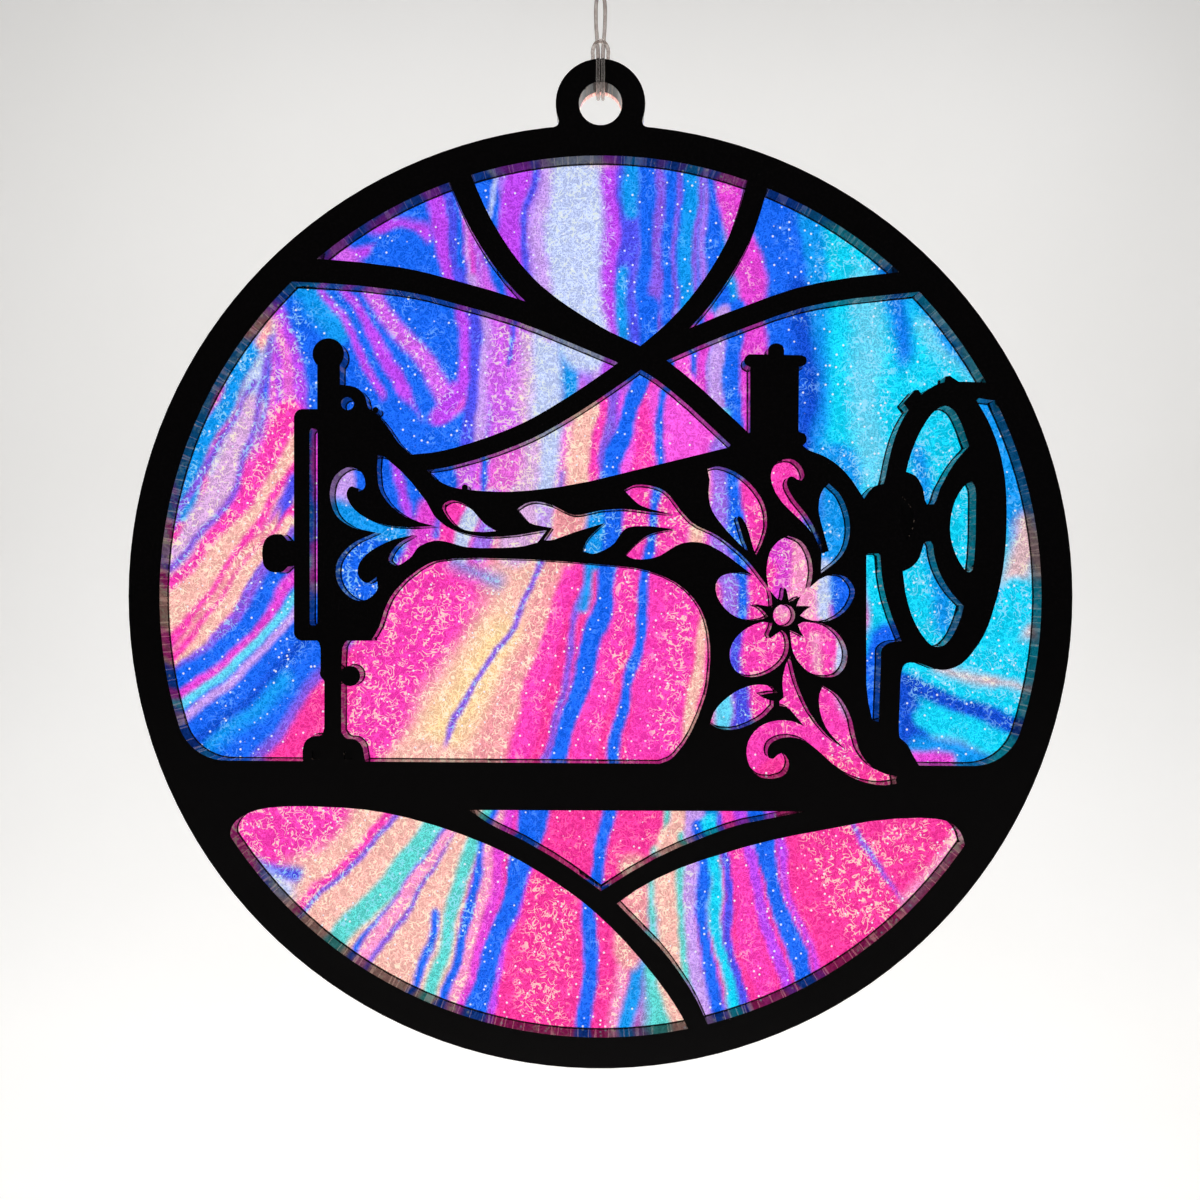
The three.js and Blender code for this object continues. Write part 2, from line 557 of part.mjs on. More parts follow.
// Everything that is cut out of the machine
function machineOpenings() {
  const [slotX, slotTop] = place([HEAD_SLOT_COLUMN, HEAD_SLOT_TOP]);
  const slotBottom = place([HEAD_SLOT_COLUMN, HEAD_SLOT_BOTTOM])[1];
  const drawn = [
    UPPER_WHEEL_WINDOW, LOWER_WHEEL_WINDOW, RIGHT_WHEEL_WINDOW, COLUMN_SLIT, LEAF_AND_SCROLLS,
    SMALL_LEAF, VINE_AND_PETALS, LOWER_LEFT_PETAL, LOWER_RIGHT_PETAL, SPLIT_LEAF, HOOK_AND_LEAF,
    STEM_AND_SCROLL, SIDE_LEAF,
  ].map(outline);
  return [
    ...drawn,
    slot(slotX, slotBottom, slotTop, HEAD_SLOT_WIDTH),
    circle(place(THREAD_HOLE), THREAD_HOLE_DIAMETER / 2),
    circle(place(FLOWER_EYE), FLOWER_EYE_DIAMETER / 2),
  ];
}

// The shallow marks in the handwheel's hub and in the presser foot
function recesses() {
  const half = FOOT_RECESS_SIZE / 2;
  const squares = FOOT_RECESSES.map(place).map(([x, y]) => [
    [x - half, y - half], [x + half, y - half], [x + half, y + half], [x - half, y + half],
  ]);
  return [outline(HUB_RECESS), ...squares];
}

function lattice() {
  const [low, high] = [LATTICE_BACK, LATTICE_FRONT];
  const hollow = cutter(circle([0, 0], RING_INNER_RADIUS), low, high);
  const ring = sheet(low, high).subtract(hollow);
  const reach = prism(circle([0, 0], RING_INNER_RADIUS + RING_WIDTH / 2), low, high);
  const filling = join([base(low, high), machine(low, high), tracery(low, high)]).intersect(reach);
  const through = machineOpenings().map((points) => cutter(points, low, high));
  const shallow = recesses().map((points) => prism(points, high - RECESS_DEPTH, high + CUT_MARGIN));
  return cut(ring.add(filling), [...through, ...shallow]);
}

function panel() {
  return sheet(PANEL_BACK, PANEL_FRONT);
}

// A many-sided section for the cord and its tails
function cordSection() {
  const corners = Array.from({ length: CORD_SIDES }, (_, i) => {
    const angle = 2 * Math.PI * (i + 0.5) / CORD_SIDES;
    const radius = CORD_DIAMETER / 2;
    return new THREE.Vector2(radius * Math.cos(angle), radius * Math.sin(angle));
  });
  return new THREE.Shape(corners);
}

// The cord's middle line on the left half: from the knot down over the tab's front, through the
// hole, up the tab's back and over its top to the peak of the loop in front of the two strands. The
// strands lean from the front face towards the knot, which is above the middle of the sheets. At
// each edge of the tab the line turns on an arc that clears the edge.
function cordRoute() {
  const edge = CORD_DIAMETER / 2 + CORD_PLAY;
  const inset = (CORD_BEND_RADIUS - edge) * Math.SQRT1_2;
  const offset = CORD_BEND_RADIUS - inset;
  const corner = edge * Math.SQRT1_2;
  const face = STACK / 2;
  const [front, back] = [-face - offset, face + offset];
  const wall = HOLE_DIAMETER / 2;
  const top = TAB_RADIUS;
  const knot = top + KNOT_RISE;
  const pair = (CORD_DIAMETER + STRAND_GAP) / 2;
  const peakDepth = front - CORD_DIAMETER - CORD_PLAY;
  const left = [
    [-pair, -CORD_PLAY, knot],
    [-STRAND_SPREAD, front * 0.25, knot - KNOT_RISE * 0.2],
    [-STRAND_SPREAD, front * 0.55, knot - KNOT_RISE * 0.5],
    [-(STRAND_SPREAD + pair) / 2, front * 0.85, knot - KNOT_RISE * 0.75],
    [-pair, front, top + CORD_DIAMETER],
    [-pair, front, (wall + top) / 2],
    [-pair, front, wall + inset],
    [-pair, -face - corner, wall - corner],
    [-pair, -face + inset, wall - offset],
    [-pair, face - inset, wall - offset],
    [-pair, face + corner, wall - corner],
    [-pair, back, wall + inset],
    [-LOOP_SPREAD, back, top - inset],
    [-LOOP_SPREAD, face + corner, top + corner],
    [-LOOP_SPREAD, face - inset, top + offset],
    [-LOOP_SPREAD, -face + inset, top + offset],
    [-LOOP_SPREAD, front, top + LOOP_PEAK_RISE * 0.47],
    [-LOOP_SPREAD * 0.86, peakDepth + 2 * CORD_PLAY, top + LOOP_PEAK_RISE * 0.6],
    [-LOOP_SPREAD * 0.48, peakDepth, top + LOOP_PEAK_RISE * 0.87],
  ];
  const right = left.map(([x, y, z]) => [-x, y, z]).reverse();
  return [...left, [0, peakDepth, top + LOOP_PEAK_RISE], ...right];
}

function cordGeometry() {
  const route = cordRoute().map(([x, y, z]) => new THREE.Vector3(x, y, z));
  const path = new THREE.CatmullRomCurve3(route, false, "centripetal");
  return new THREE.ExtrudeGeometry(cordSection(), { steps: CORD_STEPS, extrudePath: path });
}

// The knot that closes the loop: a round lump with a turn of cord around it and two short tails
function knotGeometry() {
  const [, y, ends] = cordRoute()[0];
  const z = ends + KNOT_GAP + KNOT_HEIGHT / 2;
  const depth = KNOT_DEPTH / KNOT_WIDTH;
  const lump = new THREE.SphereGeometry(KNOT_WIDTH / 2, ...KNOT_STEPS);
  lump.scale(1, depth, KNOT_HEIGHT / KNOT_WIDTH);
  const turnRadius = KNOT_WIDTH / 2 - CORD_DIAMETER / 4;
  const turn = new THREE.TorusGeometry(turnRadius, CORD_DIAMETER / 2, ...TURN_STEPS);
  turn.scale(1, depth, 1);
  turn.rotateY(TURN_TILT);
  const tails = [-1, 1].map((side) => {
    const foot = new THREE.Vector3(side * CORD_DIAMETER / 2, 0, 0);
    const tip = new THREE.Vector3(
      side * (CORD_DIAMETER / 2 + TAIL_LENGTH * TAIL_LEAN), 0, KNOT_HEIGHT / 2 + TAIL_LENGTH);
    const path = new THREE.LineCurve3(foot, tip);
    return solidOf(new THREE.ExtrudeGeometry(cordSection(), { steps: 1, extrudePath: path }));
  });
  const knot = join([solidOf(lump), solidOf(turn), ...tails]);
  const geometry = geometryOf(knot);
  geometry.translate(0, y, z);
  return geometry;
}

// The solid's surface as a geometry
function geometryOf(solid) {
  const { vertProperties, triVerts } = solid.getMesh();
  const geometry = new THREE.BufferGeometry();
  geometry.setAttribute("position", new THREE.BufferAttribute(new Float32Array(vertProperties), 3));
  geometry.setIndex(new THREE.BufferAttribute(new Uint32Array(triVerts), 1));
  geometry.computeVertexNormals();
  return geometry;
}

function named(name, geometry, material) {
  const mesh = new THREE.Mesh(geometry, material);
  mesh.name = name;
  return mesh;
}

// The sheets are drawn lying flat around the disc's centre. They are stood up, and lowered so that
// the middle of the hole is the origin.
const sheets = new THREE.Group();
sheets.rotation.x = Math.PI / 2;
sheets.position.z = -TAB_CENTRE[1];
sheets.add(named("lattice", geometryOf(lattice()), black));
sheets.add(named("color_panel", geometryOf(panel()), marbled));

const suncatcher = new THREE.Group();
suncatcher.add(sheets);
suncatcher.add(named("hanging_cord", cordGeometry(), clear));
suncatcher.add(named("cord_knot", knotGeometry(), clear));

export default suncatcher;
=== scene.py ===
"""Acrylic suncatcher: black lattice, marbled colour panel and clear hanging line, in a pale studio."""
import math

import bmesh
import bpy
import numpy as np
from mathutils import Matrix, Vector
from mathutils.bvhtree import BVHTree


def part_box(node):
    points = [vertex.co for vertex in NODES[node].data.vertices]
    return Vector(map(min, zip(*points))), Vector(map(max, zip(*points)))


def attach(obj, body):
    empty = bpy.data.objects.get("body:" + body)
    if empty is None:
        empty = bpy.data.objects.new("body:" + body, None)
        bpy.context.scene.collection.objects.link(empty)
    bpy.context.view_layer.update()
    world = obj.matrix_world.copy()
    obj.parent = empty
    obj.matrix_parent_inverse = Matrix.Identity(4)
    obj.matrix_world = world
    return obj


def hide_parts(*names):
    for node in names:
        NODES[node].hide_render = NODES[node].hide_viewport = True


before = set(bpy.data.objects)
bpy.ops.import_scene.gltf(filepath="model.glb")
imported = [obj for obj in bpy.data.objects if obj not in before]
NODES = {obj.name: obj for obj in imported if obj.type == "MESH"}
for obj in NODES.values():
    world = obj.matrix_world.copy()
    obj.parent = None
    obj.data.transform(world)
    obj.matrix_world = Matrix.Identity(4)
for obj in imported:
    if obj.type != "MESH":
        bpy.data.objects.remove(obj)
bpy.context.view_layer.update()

MM = 0.001
TINY = 1e-6
FAR_AWAY = 1e9


def sheet_faces(node):
    """Where a sheet's front and back lie (mm)."""
    low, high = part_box(node)
    return round(low[1] / MM, 3), round(high[1] / MM, 3)


FRONT_Y, LATTICE_BACK_Y = sheet_faces("lattice")
PANEL_FRONT_Y, PANEL_BACK_Y = sheet_faces("color_panel")

# Camera
IMAGE_SIZE = 1200            # side of the square picture, in grid steps
GRID_STEP = 0.161441         # mm on the front face for one step of the drawing grid
GRID_CENTRE = (600.5, 596.5)  # the disc's middle on the drawing grid
DISC_CENTRE_Z = -79.6        # mm from the middle of the hanging hole
VIEW_DISTANCE = 156.0        # mm from the lens to the front face
SENSOR = 36.0                # mm across
CLIP = (0.005, 20.0)         # m, the nearest and farthest that the camera sees

CAMERA_X = (IMAGE_SIZE / 2 - GRID_CENTRE[0]) * GRID_STEP
CAMERA_Y = FRONT_Y - VIEW_DISTANCE
CAMERA_Z = DISC_CENTRE_Z + (GRID_CENTRE[1] - IMAGE_SIZE / 2) * GRID_STEP
FOCAL_STEPS = VIEW_DISTANCE / GRID_STEP


def add_object(name, data):
    """A new object in the scene."""
    made = bpy.data.objects.new(name, data)
    bpy.context.scene.collection.objects.link(made)
    return made


def make_camera():
    """A level camera before the disc, as far off as the photograph's is."""
    data = bpy.data.cameras.new("camera")
    data.sensor_fit = "HORIZONTAL"
    data.sensor_width = SENSOR
    data.lens = SENSOR * FOCAL_STEPS / IMAGE_SIZE
    data.clip_start, data.clip_end = CLIP
    camera = add_object("camera", data)
    camera.location = Vector((CAMERA_X, CAMERA_Y, CAMERA_Z)) * MM
    camera.rotation_euler = (math.radians(90), 0, 0)
    bpy.context.scene.camera = camera


make_camera()


# Small helpers
def linear(rgb):
    """An 8-bit screen colour as linear light."""
    out = []
    for value in rgb:
        share = value / 255
        out.append(share / 12.92 if share <= 0.04045 else ((share + 0.055) / 1.055) ** 2.4)
    return tuple(out)


def centripetal(points, spacing):
    """A smooth line through the points, sampled about every `spacing`."""
    points = [Vector(p) for p in points]
    first = points[0] * 2 - points[1]
    last = points[-1] * 2 - points[-2]
    padded = [first] + points + [last]
    line = []
    for i in range(1, len(padded) - 2):
        p0, p1, p2, p3 = padded[i - 1:i + 3]
        t1 = (p1 - p0).length ** 0.5
        t2 = t1 + (p2 - p1).length ** 0.5
        t3 = t2 + (p3 - p2).length ** 0.5
        steps = max(2, math.ceil((p2 - p1).length / spacing))
        for k in range(steps):
            t = t1 + (t2 - t1) * k / steps
            a1 = p0 * ((t1 - t) / t1) + p1 * (t / t1)
            a2 = p1 * ((t2 - t) / (t2 - t1)) + p2 * ((t - t1) / (t2 - t1))
            a3 = p2 * ((t3 - t) / (t3 - t2)) + p3 * ((t - t2) / (t3 - t2))
            b1 = a1 * ((t2 - t) / t2) + a2 * (t / t2)
            b2 = a2 * ((t3 - t) / (t3 - t1)) + a3 * ((t - t1) / (t3 - t1))
            line.append(b1 * ((t2 - t) / (t2 - t1)) + b2 * ((t - t1) / (t2 - t1)))
    line.append(points[-1])
    return line


NOISE_MIDDLE = 0.5           # what a noise is on average
TUBE_ROUNDING = 5            # Blender's bevel resolution of a tube


def curve_piece(name, lines, radius):
    """Round tubes along open lines, in one curve object."""
    data = bpy.data.curves.new(name, "CURVE")
    data.dimensions = "3D"
    data.bevel_depth = radius
    data.bevel_resolution = TUBE_ROUNDING
    data.use_fill_caps = True
    for line in lines:
        spline = data.splines.new("POLY")
        spline.points.add(len(line) - 1)
        for point, place in zip(spline.points, line):
            point.co = (*place, 1.0)
        spline.use_smooth = True
    return add_object(name, data)


def mesh_piece(name, places, faces):
    """A mesh object from points (m) and faces."""
    data = bpy.data.meshes.new(name)
    data.from_pydata(places, [], faces)
    data.update()
    return add_object(name, data)


class Graph:
    """A material's node tree with short calls for the nodes it needs."""

    def __init__(self, name):
        self.material = bpy.data.materials.new(name)
        self.material.use_nodes = True
        self.tree = self.material.node_tree
        self.shader = self.tree.nodes["Principled BSDF"]

    def feed(self, socket, value):
        """Link an output to the socket, or give the socket a plain value."""
        if hasattr(value, "is_output"):
            self.tree.links.new(value, socket)
        else:
            socket.default_value = value

    def node(self, kind, inputs=None, **settings):
        """A new node with its settings, and its inputs by number or name."""
        made = self.tree.nodes.new("ShaderNode" + kind)
        for key, value in settings.items():
            setattr(made, key, value)
        for key, value in (inputs or {}).items():
            self.feed(made.inputs[key], value)
        return made

    def shade(self, **inputs):
        """Feed the shader's sockets, with _ for each space of their names."""
        for key, value in inputs.items():
            self.feed(self.shader.inputs[key.replace("_", " ")], value)

    def math(self, operation, first, second=0.0, third=0.0):
        return self.node("Math", {0: first, 1: second, 2: third}, operation=operation).outputs[0]

    def vector(self, operation, inputs):
        return self.node("VectorMath", inputs, operation=operation).outputs[0]

    def place(self, scale=(1, 1, 1), turn=(0, 0, 0)):
        """The object's own coordinates (m), stretched and turned."""
        spot = self.node("TexCoord").outputs["Object"]
        return self.node("Mapping", {"Vector": spot, "Scale": scale, "Rotation": turn}).outputs[0]

    def noise(self, vector, scale, detail=2.0, distortion=0.0):
        inputs = {"Vector": vector, "Scale": scale, "Detail": detail, "Distortion": distortion}
        return self.node("TexNoise", inputs).outputs["Fac"]

    def cells(self, vector, scale, feature="F1"):
        return self.node("TexVoronoi", {"Vector": vector, "Scale": scale}, feature=feature).outputs

    def span(self, value, low, high, to_low=0.0, to_high=1.0):
        """A smooth step, from to_low where the value is low to to_high where it is high."""
        inputs = {"Value": value, "From Min": low, "From Max": high, "To Min": to_low, "To Max": to_high}
        return self.node("MapRange", inputs, interpolation_type="SMOOTHSTEP").outputs["Result"]

    def mix(self, factor, first, second, blend="MIX"):
        inputs = {0: factor, 6: first, 7: second}
        return self.node("Mix", inputs, data_type="RGBA", blend_type=blend).outputs[2]

    def grey(self, value):
        """A number as a grey."""
        return self.node("CombineColor", {0: value, 1: value, 2: value}).outputs[0]

    def channels(self, colour):
        return self.node("SeparateColor", {0: colour}).outputs

    def bump(self, height, strength, distance, **more):
        inputs = {"Height": height, "Strength": strength, "Distance": distance, **more}
        self.shade(Normal=self.node("Bump", inputs).outputs[0])


# Clear line, in mm, along the same route as in the part's source
CORD_DIAMETER = 0.7
CORD_BEND_RADIUS = 1.3
CORD_PLAY = 0.12
STRAND_GAP = 0.1
STRAND_SPREAD = 0.72
LOOP_SPREAD = 1.24
LOOP_PEAK_RISE = 1.95
HOLE_RADIUS = 3.5
TAB_TOP = 7.25
STACK_HALF = PANEL_BACK_Y
KNOT_RISE = 12.0


def cord_route():
    """The line's route, in mm: down the front, through the hole, up the back and over in a small loop."""
    edge = CORD_DIAMETER / 2 + CORD_PLAY
    inset = (CORD_BEND_RADIUS - edge) / math.sqrt(2)
    offset = CORD_BEND_RADIUS - inset
    corner = edge / math.sqrt(2)
    face = STACK_HALF
    front = -face - offset
    back = face + offset
    wall = HOLE_RADIUS
    top = TAB_TOP
    knot = top + KNOT_RISE
    pair = (CORD_DIAMETER + STRAND_GAP) / 2
    peak_depth = front - CORD_DIAMETER - CORD_PLAY
    rise = LOOP_PEAK_RISE
    half = [
        (-pair, -CORD_PLAY, knot),
        (-STRAND_SPREAD, front * 0.25, knot - KNOT_RISE * 0.2),
        (-STRAND_SPREAD, front * 0.55, knot - KNOT_RISE * 0.5),
        (-(STRAND_SPREAD + pair) / 2, front * 0.85, knot - KNOT_RISE * 0.75),
        (-pair, front, top + CORD_DIAMETER),
        (-pair, front, (wall + top) / 2),
        (-pair, front, wall + inset),
        (-pair, -face - corner, wall - corner),
        (-pair, -face + inset, wall - offset),
        (-pair, face - inset, wall - offset),
        (-pair, face + corner, wall - corner),
        (-pair, back, wall + inset),
        (-LOOP_SPREAD, back, top - inset),
        (-LOOP_SPREAD, face + corner, top + corner),
        (-LOOP_SPREAD, face - inset, top + offset),
        (-LOOP_SPREAD, -face + inset, top + offset),
        (-LOOP_SPREAD, front, top + rise * 0.47),
        (-LOOP_SPREAD * 0.86, peak_depth + CORD_PLAY * 2, top + rise * 0.6),
        (-LOOP_SPREAD * 0.48, peak_depth, top + rise * 0.87),
    ]
    peak = (0.0, peak_depth, top + rise)
    mirrored = [(-x, y, z) for x, y, z in reversed(half)]
    return half + [peak] + mirrored


NYLON_DRAWN = (1, 1, 0.15)   # the grain's stretch, along the line
NYLON_MILK = ((0.76, 0.69, 0.65, 1), (0.50, 0.42, 0.39, 1))
MILK_SCALE = 2600            # milky spots to the metre
MILK_SPAN = (0.35, 0.7)
DRAW_SCALE = 9000            # draw lines to the metre
DRAW_DEPTH = 0.00004         # m


def clear_nylon():
    """Clear nylon: see-through, a little milky, with faint draw lines along its length."""
    graph = Graph("clear_nylon")
    place = graph.place(scale=NYLON_DRAWN)
    milk = graph.span(graph.noise(place, MILK_SCALE), *MILK_SPAN)
    graph.shade(Base_Color=graph.mix(milk, *NYLON_MILK), Roughness=0.09, IOR=1.5)
    graph.shade(Transmission_Weight=0.86, Specular_IOR_Level=0.6)
    graph.bump(graph.noise(place, DRAW_SCALE, detail=1), strength=0.12, distance=DRAW_DEPTH)
    return graph.material


NYLON = clear_nylon()
CORD_SAMPLES = 0.22          # mm between the points of the drawn line
KNOT_SAMPLES = 0.12
TAIL_SAMPLES = 0.2
LINE_EASE = 0.025            # mm off the round line's radius, which keeps it in the eight-sided solid's box
cord_line = [point * MM for point in centripetal(cord_route(), CORD_SAMPLES)]
cord = curve_piece("clear_line", [cord_line], (CORD_DIAMETER / 2 - LINE_EASE) * MM)
cord.data.materials.append(NYLON)

KNOT_LOW = TAB_TOP + KNOT_RISE
KNOT_STRAND = 0.31           # half the thickness of the line where the knot squeezes it
KNOT_PAIR = 0.3              # half the distance between the two strands in the knot
KNOT_PATH = (                # across, back and up from the foot of the knot
    (0.00, -0.12, 0.00), (0.05, -0.14, 0.45), (0.62, -0.42, 0.95), (0.42, -0.78, 1.55),
    (-0.42, -0.66, 1.85), (-0.88, -0.10, 1.45), (-0.55, 0.42, 0.95), (0.25, 0.50, 0.80),
    (0.80, 0.12, 1.30), (0.55, 0.10, 1.95), (0.00, -0.10, 2.35), (0.05, -0.12, 3.10),
)
# How far each cut tail reaches from the end of its strand
KNOT_TAILS = ((0.62, 0.0, 1.75), (-0.75, 0.1, 1.35))


def knot_lines():
    """Both strands go round the same small overhand knot and end in two cut tails."""
    middle = centripetal([(x, y, KNOT_LOW + z) for x, y, z in KNOT_PATH], KNOT_SAMPLES)
    lines = []
    for side, tail in zip((-1, 1), KNOT_TAILS):
        line = []
        for i, point in enumerate(middle):
            ahead = middle[min(i + 1, len(middle) - 1)] - middle[max(i - 1, 0)]
            across = ahead.cross(Vector((0, 1, 0)))
            if across.length < TINY:
                across = Vector((1, 0, 0))
            line.append(point + across.normalized() * KNOT_PAIR * side)
        end = line[-1]
        reach = Vector(tail)
        line += centripetal([end, end + reach * 0.5, end + reach], TAIL_SAMPLES)[1:]
        lines.append([point * MM for point in line])
    return lines


knot = curve_piece("line_knot", knot_lines(), KNOT_STRAND * MM)
knot.data.materials.append(NYLON)

# Marbled panel: colours
BLUE = (12, 100, 245)
DEEP_BLUE = (0, 72, 208)
AZURE = (0, 124, 240)
SKY = (0, 150, 242)
CYAN = (0, 212, 250)
PALE_CYAN = (96, 212, 246)
VIOLET = (190, 66, 242)
MAGENTA = (228, 62, 214)
LILAC = (165, 110, 240)
PALE_LILAC = (200, 156, 242)
INDIGO = (76, 76, 238)
PURPLE = (134, 84, 226)
PINK = (255, 56, 182)
ROSE = (255, 50, 158)
HOT_MAGENTA = (252, 84, 226)
BLUSH = (236, 104, 222)
PALE_PINK = (255, 150, 205)
PEACH = (246, 156, 166)
PALE_PEACH = (222, 184, 192)
CREAM = (250, 186, 176)
YELLOW_CREAM = (255, 214, 160)
HAZE = (220, 172, 226)
PEARL = (194, 208, 252)
AQUA = (92, 214, 208)
ORCHID = (210, 96, 240)
DUSTY_BLUE = (116, 140, 222)

# Each band: a label, its colour, its width (one number, or its two ends), its soft edge, and the line that
# it follows, all in steps of the drawing grid. The broad areas come first, and later bands lie on top.
BROAD = (
    ("top_left_field", BLUE, 210, 30, ((290, 240), (400, 300), (380, 420))),
    ("top_field", LILAC, 170, 30, ((570, 110), (570, 340))),
    ("top_right_field", BLUE, 150, 30, ((700, 120), (720, 330))),
    ("left_field", PINK, 150, 30, ((140, 380), (200, 520), (140, 640))),
    ("left_low_field", BLUE, 130, 30, ((150, 740), (260, 690), (330, 600))),
    ("right_blue_field", SKY, 200, 30, ((800, 200), (820, 420), (840, 560))),
    ("right_cyan_field", CYAN, 220, 30, ((930, 250), (970, 420), (960, 700))),
    ("centre_field", HOT_MAGENTA, 150, 20, ((510, 452), (700, 470))),
    ("arch_field", ROSE, 250, 20, ((420, 680), (650, 680))),
    ("flower_field", PINK, 170, 30, ((780, 560), (800, 790))),
    ("low_left_field", CREAM, 220, 30, ((240, 860), (420, 900))),
    ("low_middle_field", ROSE, 170, 30, ((540, 820), (560, 1050))),
    ("low_right_field", ROSE, 260, 30, ((800, 900), (930, 880))),
)

LEFT_ARCS = (
    ("blue", BLUE, 70, 3, ((322, 285), (338, 360), (342, 480))),
    ("sky_patch", SKY, 26, 10, ((306, 292), (330, 322))),
    ("blush", BLUSH, (12, 44), 5, ((272, 316), (282, 360), (286, 410), (276, 460))),
    ("edge_violet", VIOLET, 10, 5, ((276, 300), (294, 352), (304, 404), (302, 450))),
    ("violet_thin", VIOLET, 7, 4, ((268, 330), (278, 366), (282, 410), (270, 450))),
    ("edge_pearl", PEARL, 16, 6, ((262, 336), (254, 380), (244, 420), (222, 462))),
    ("edge_peach", PEACH, 8, 5, ((262, 334), (250, 362), (236, 396))),
    ("sky_arc", SKY, 20, 6, ((242, 366), (226, 402), (202, 446), (188, 500))),
    ("purple_one", PURPLE, 7, 3, ((248, 396), (220, 444), (178, 516))),
    ("cream_one", HAZE, 24, 6, ((250, 420), (234, 456), (190, 538), (160, 570))),
    ("purple_two", PURPLE, 6, 4, ((266, 350), (262, 400), (250, 444), (222, 509), (176, 560))),
    ("pink_one", PINK, (30, 24), 6, ((286, 430), (268, 466), (240, 520), (172, 590))),
    ("cream_two", CREAM, (18, 30), 5, ((292, 452), (266, 498), (211, 567), (169, 613))),
    ("pink_two", PINK, 9, 4, ((296, 462), (278, 486), (241, 551), (188, 632))),
    ("peach_two", PEACH, 14, 5, ((290, 508), (256, 548), (182, 650))),
    ("indigo_patch", INDIGO, 13, 6, ((290, 494), (284, 536))),
    ("pink_three", PINK, 9, 4, ((286, 522), (246, 572), (178, 655))),
    ("cream_three", CREAM, 14, 4, ((284, 534), (259, 564), (178, 672))),
    ("purple_three", PURPLE, 6, 3, ((286, 540), (261, 573), (229, 622), (174, 673))),
    ("blue_two", BLUE, 18, 4, ((300, 545), (276, 582), (241, 629), (176, 682))),
    ("violet_low", MAGENTA, 10, 4, ((308, 555), (287, 584), (257, 628), (181, 696))),
    ("cyan_low", PALE_CYAN, 9, 4, ((312, 568), (292, 600), (259, 638), (183, 705))),
    ("lilac_low", PALE_LILAC, 9, 4, ((316, 580), (295, 613), (259, 653), (190, 715))),
    ("blue_wide", BLUE, 62, 5, ((350, 602), (312, 650), (220, 768))),
    ("sky_low", SKY, 16, 12, ((276, 690), (222, 738))),
    ("deep_low", DEEP_BLUE, 10, 8, ((316, 628), (250, 700), (196, 748))),
    ("rose_corner", ROSE, 66, 4, ((372, 664), (347, 697), (283, 785))),
    ("purple_edge", PURPLE, 10, 7, ((345, 648), (320, 676), (252, 766))),
)

UPPER_LEFT = (
    ("wedge_violet", VIOLET, 10, 5, ((336, 258), (370, 247))),
    ("violet_one", VIOLET, (4, 9), 3, ((300, 262), (318, 291), (351, 332), (374, 381), (392, 424))),
    ("violet_patch", VIOLET, 18, 8, ((388, 226), (410, 232))),
    ("violet_diagonal", VIOLET, (10, 14), 4, ((378, 222), (404, 250), (424, 280))),
    ("violet_two", VIOLET, (6, 15), 3, ((322, 262), (341, 291), (369, 328), (390, 369), (429, 443))),
    ("low_blue", BLUE, 46, 6, ((404, 440), (450, 446), (486, 420))),
    ("magenta_left_arm", ORCHID, (18, 20), 6, ((350, 262), (372, 294), (400, 330), (426, 366), (440, 388))),
    ("magenta_right_arm", VIOLET, (20, 8), 4, ((449, 404), (463, 374), (466, 340), (458, 304))),
    ("blue_between_arms", BLUE, (64, 4), 4, ((404, 272), (430, 316), (451, 366))),
    ("upper_violet", VIOLET, 15, 4, ((425, 172), (433, 202), (443, 244), (454, 285))),
    ("upper_indigo", INDIGO, 8, 3, ((440, 168), (447, 206), (455, 250), (462, 290))),
    ("upper_magenta", MAGENTA, 9, 3, ((452, 166), (463, 214), (474, 262), (480, 300))),
    ("upper_white", PALE_LILAC, 3, 2, ((461, 205), (473, 270))),
    ("upper_blue", BLUE, 12, 3, ((466, 168), (476, 220), (486, 262))),
    ("corner_magenta", ORCHID, (18, 34), 10, ((484, 246), (510, 304))),
    ("indigo_stripe", INDIGO, 14, 3, ((464, 290), (474, 330), (476, 370), (470, 436))),
    ("lilac_stripe", PALE_LILAC, 11, 4, ((478, 296), (486, 340), (486, 380), (480, 436))),
    ("pink_stripe", ORCHID, 34, 9, ((500, 296), (506, 356), (504, 440))),
    ("small_indigo", INDIGO, (12, 3), 3, ((508, 300), (512, 330), (510, 353))),
    ("haze_stripe", HAZE, 16, 12, ((526, 300), (530, 360), (526, 436))),
    ("pearl_stripe", PEARL, 32, 10, ((546, 300), (550, 360), (544, 440))),
    ("sky_patch", SKY, 16, 6, ((570, 346), (568, 402))),
    ("lilac_patch", LILAC, 26, 10, ((598, 346), (592, 404))),
    ("lilac_white_patch", PALE_LILAC, 8, 4, ((600, 346), (594, 396))),
)

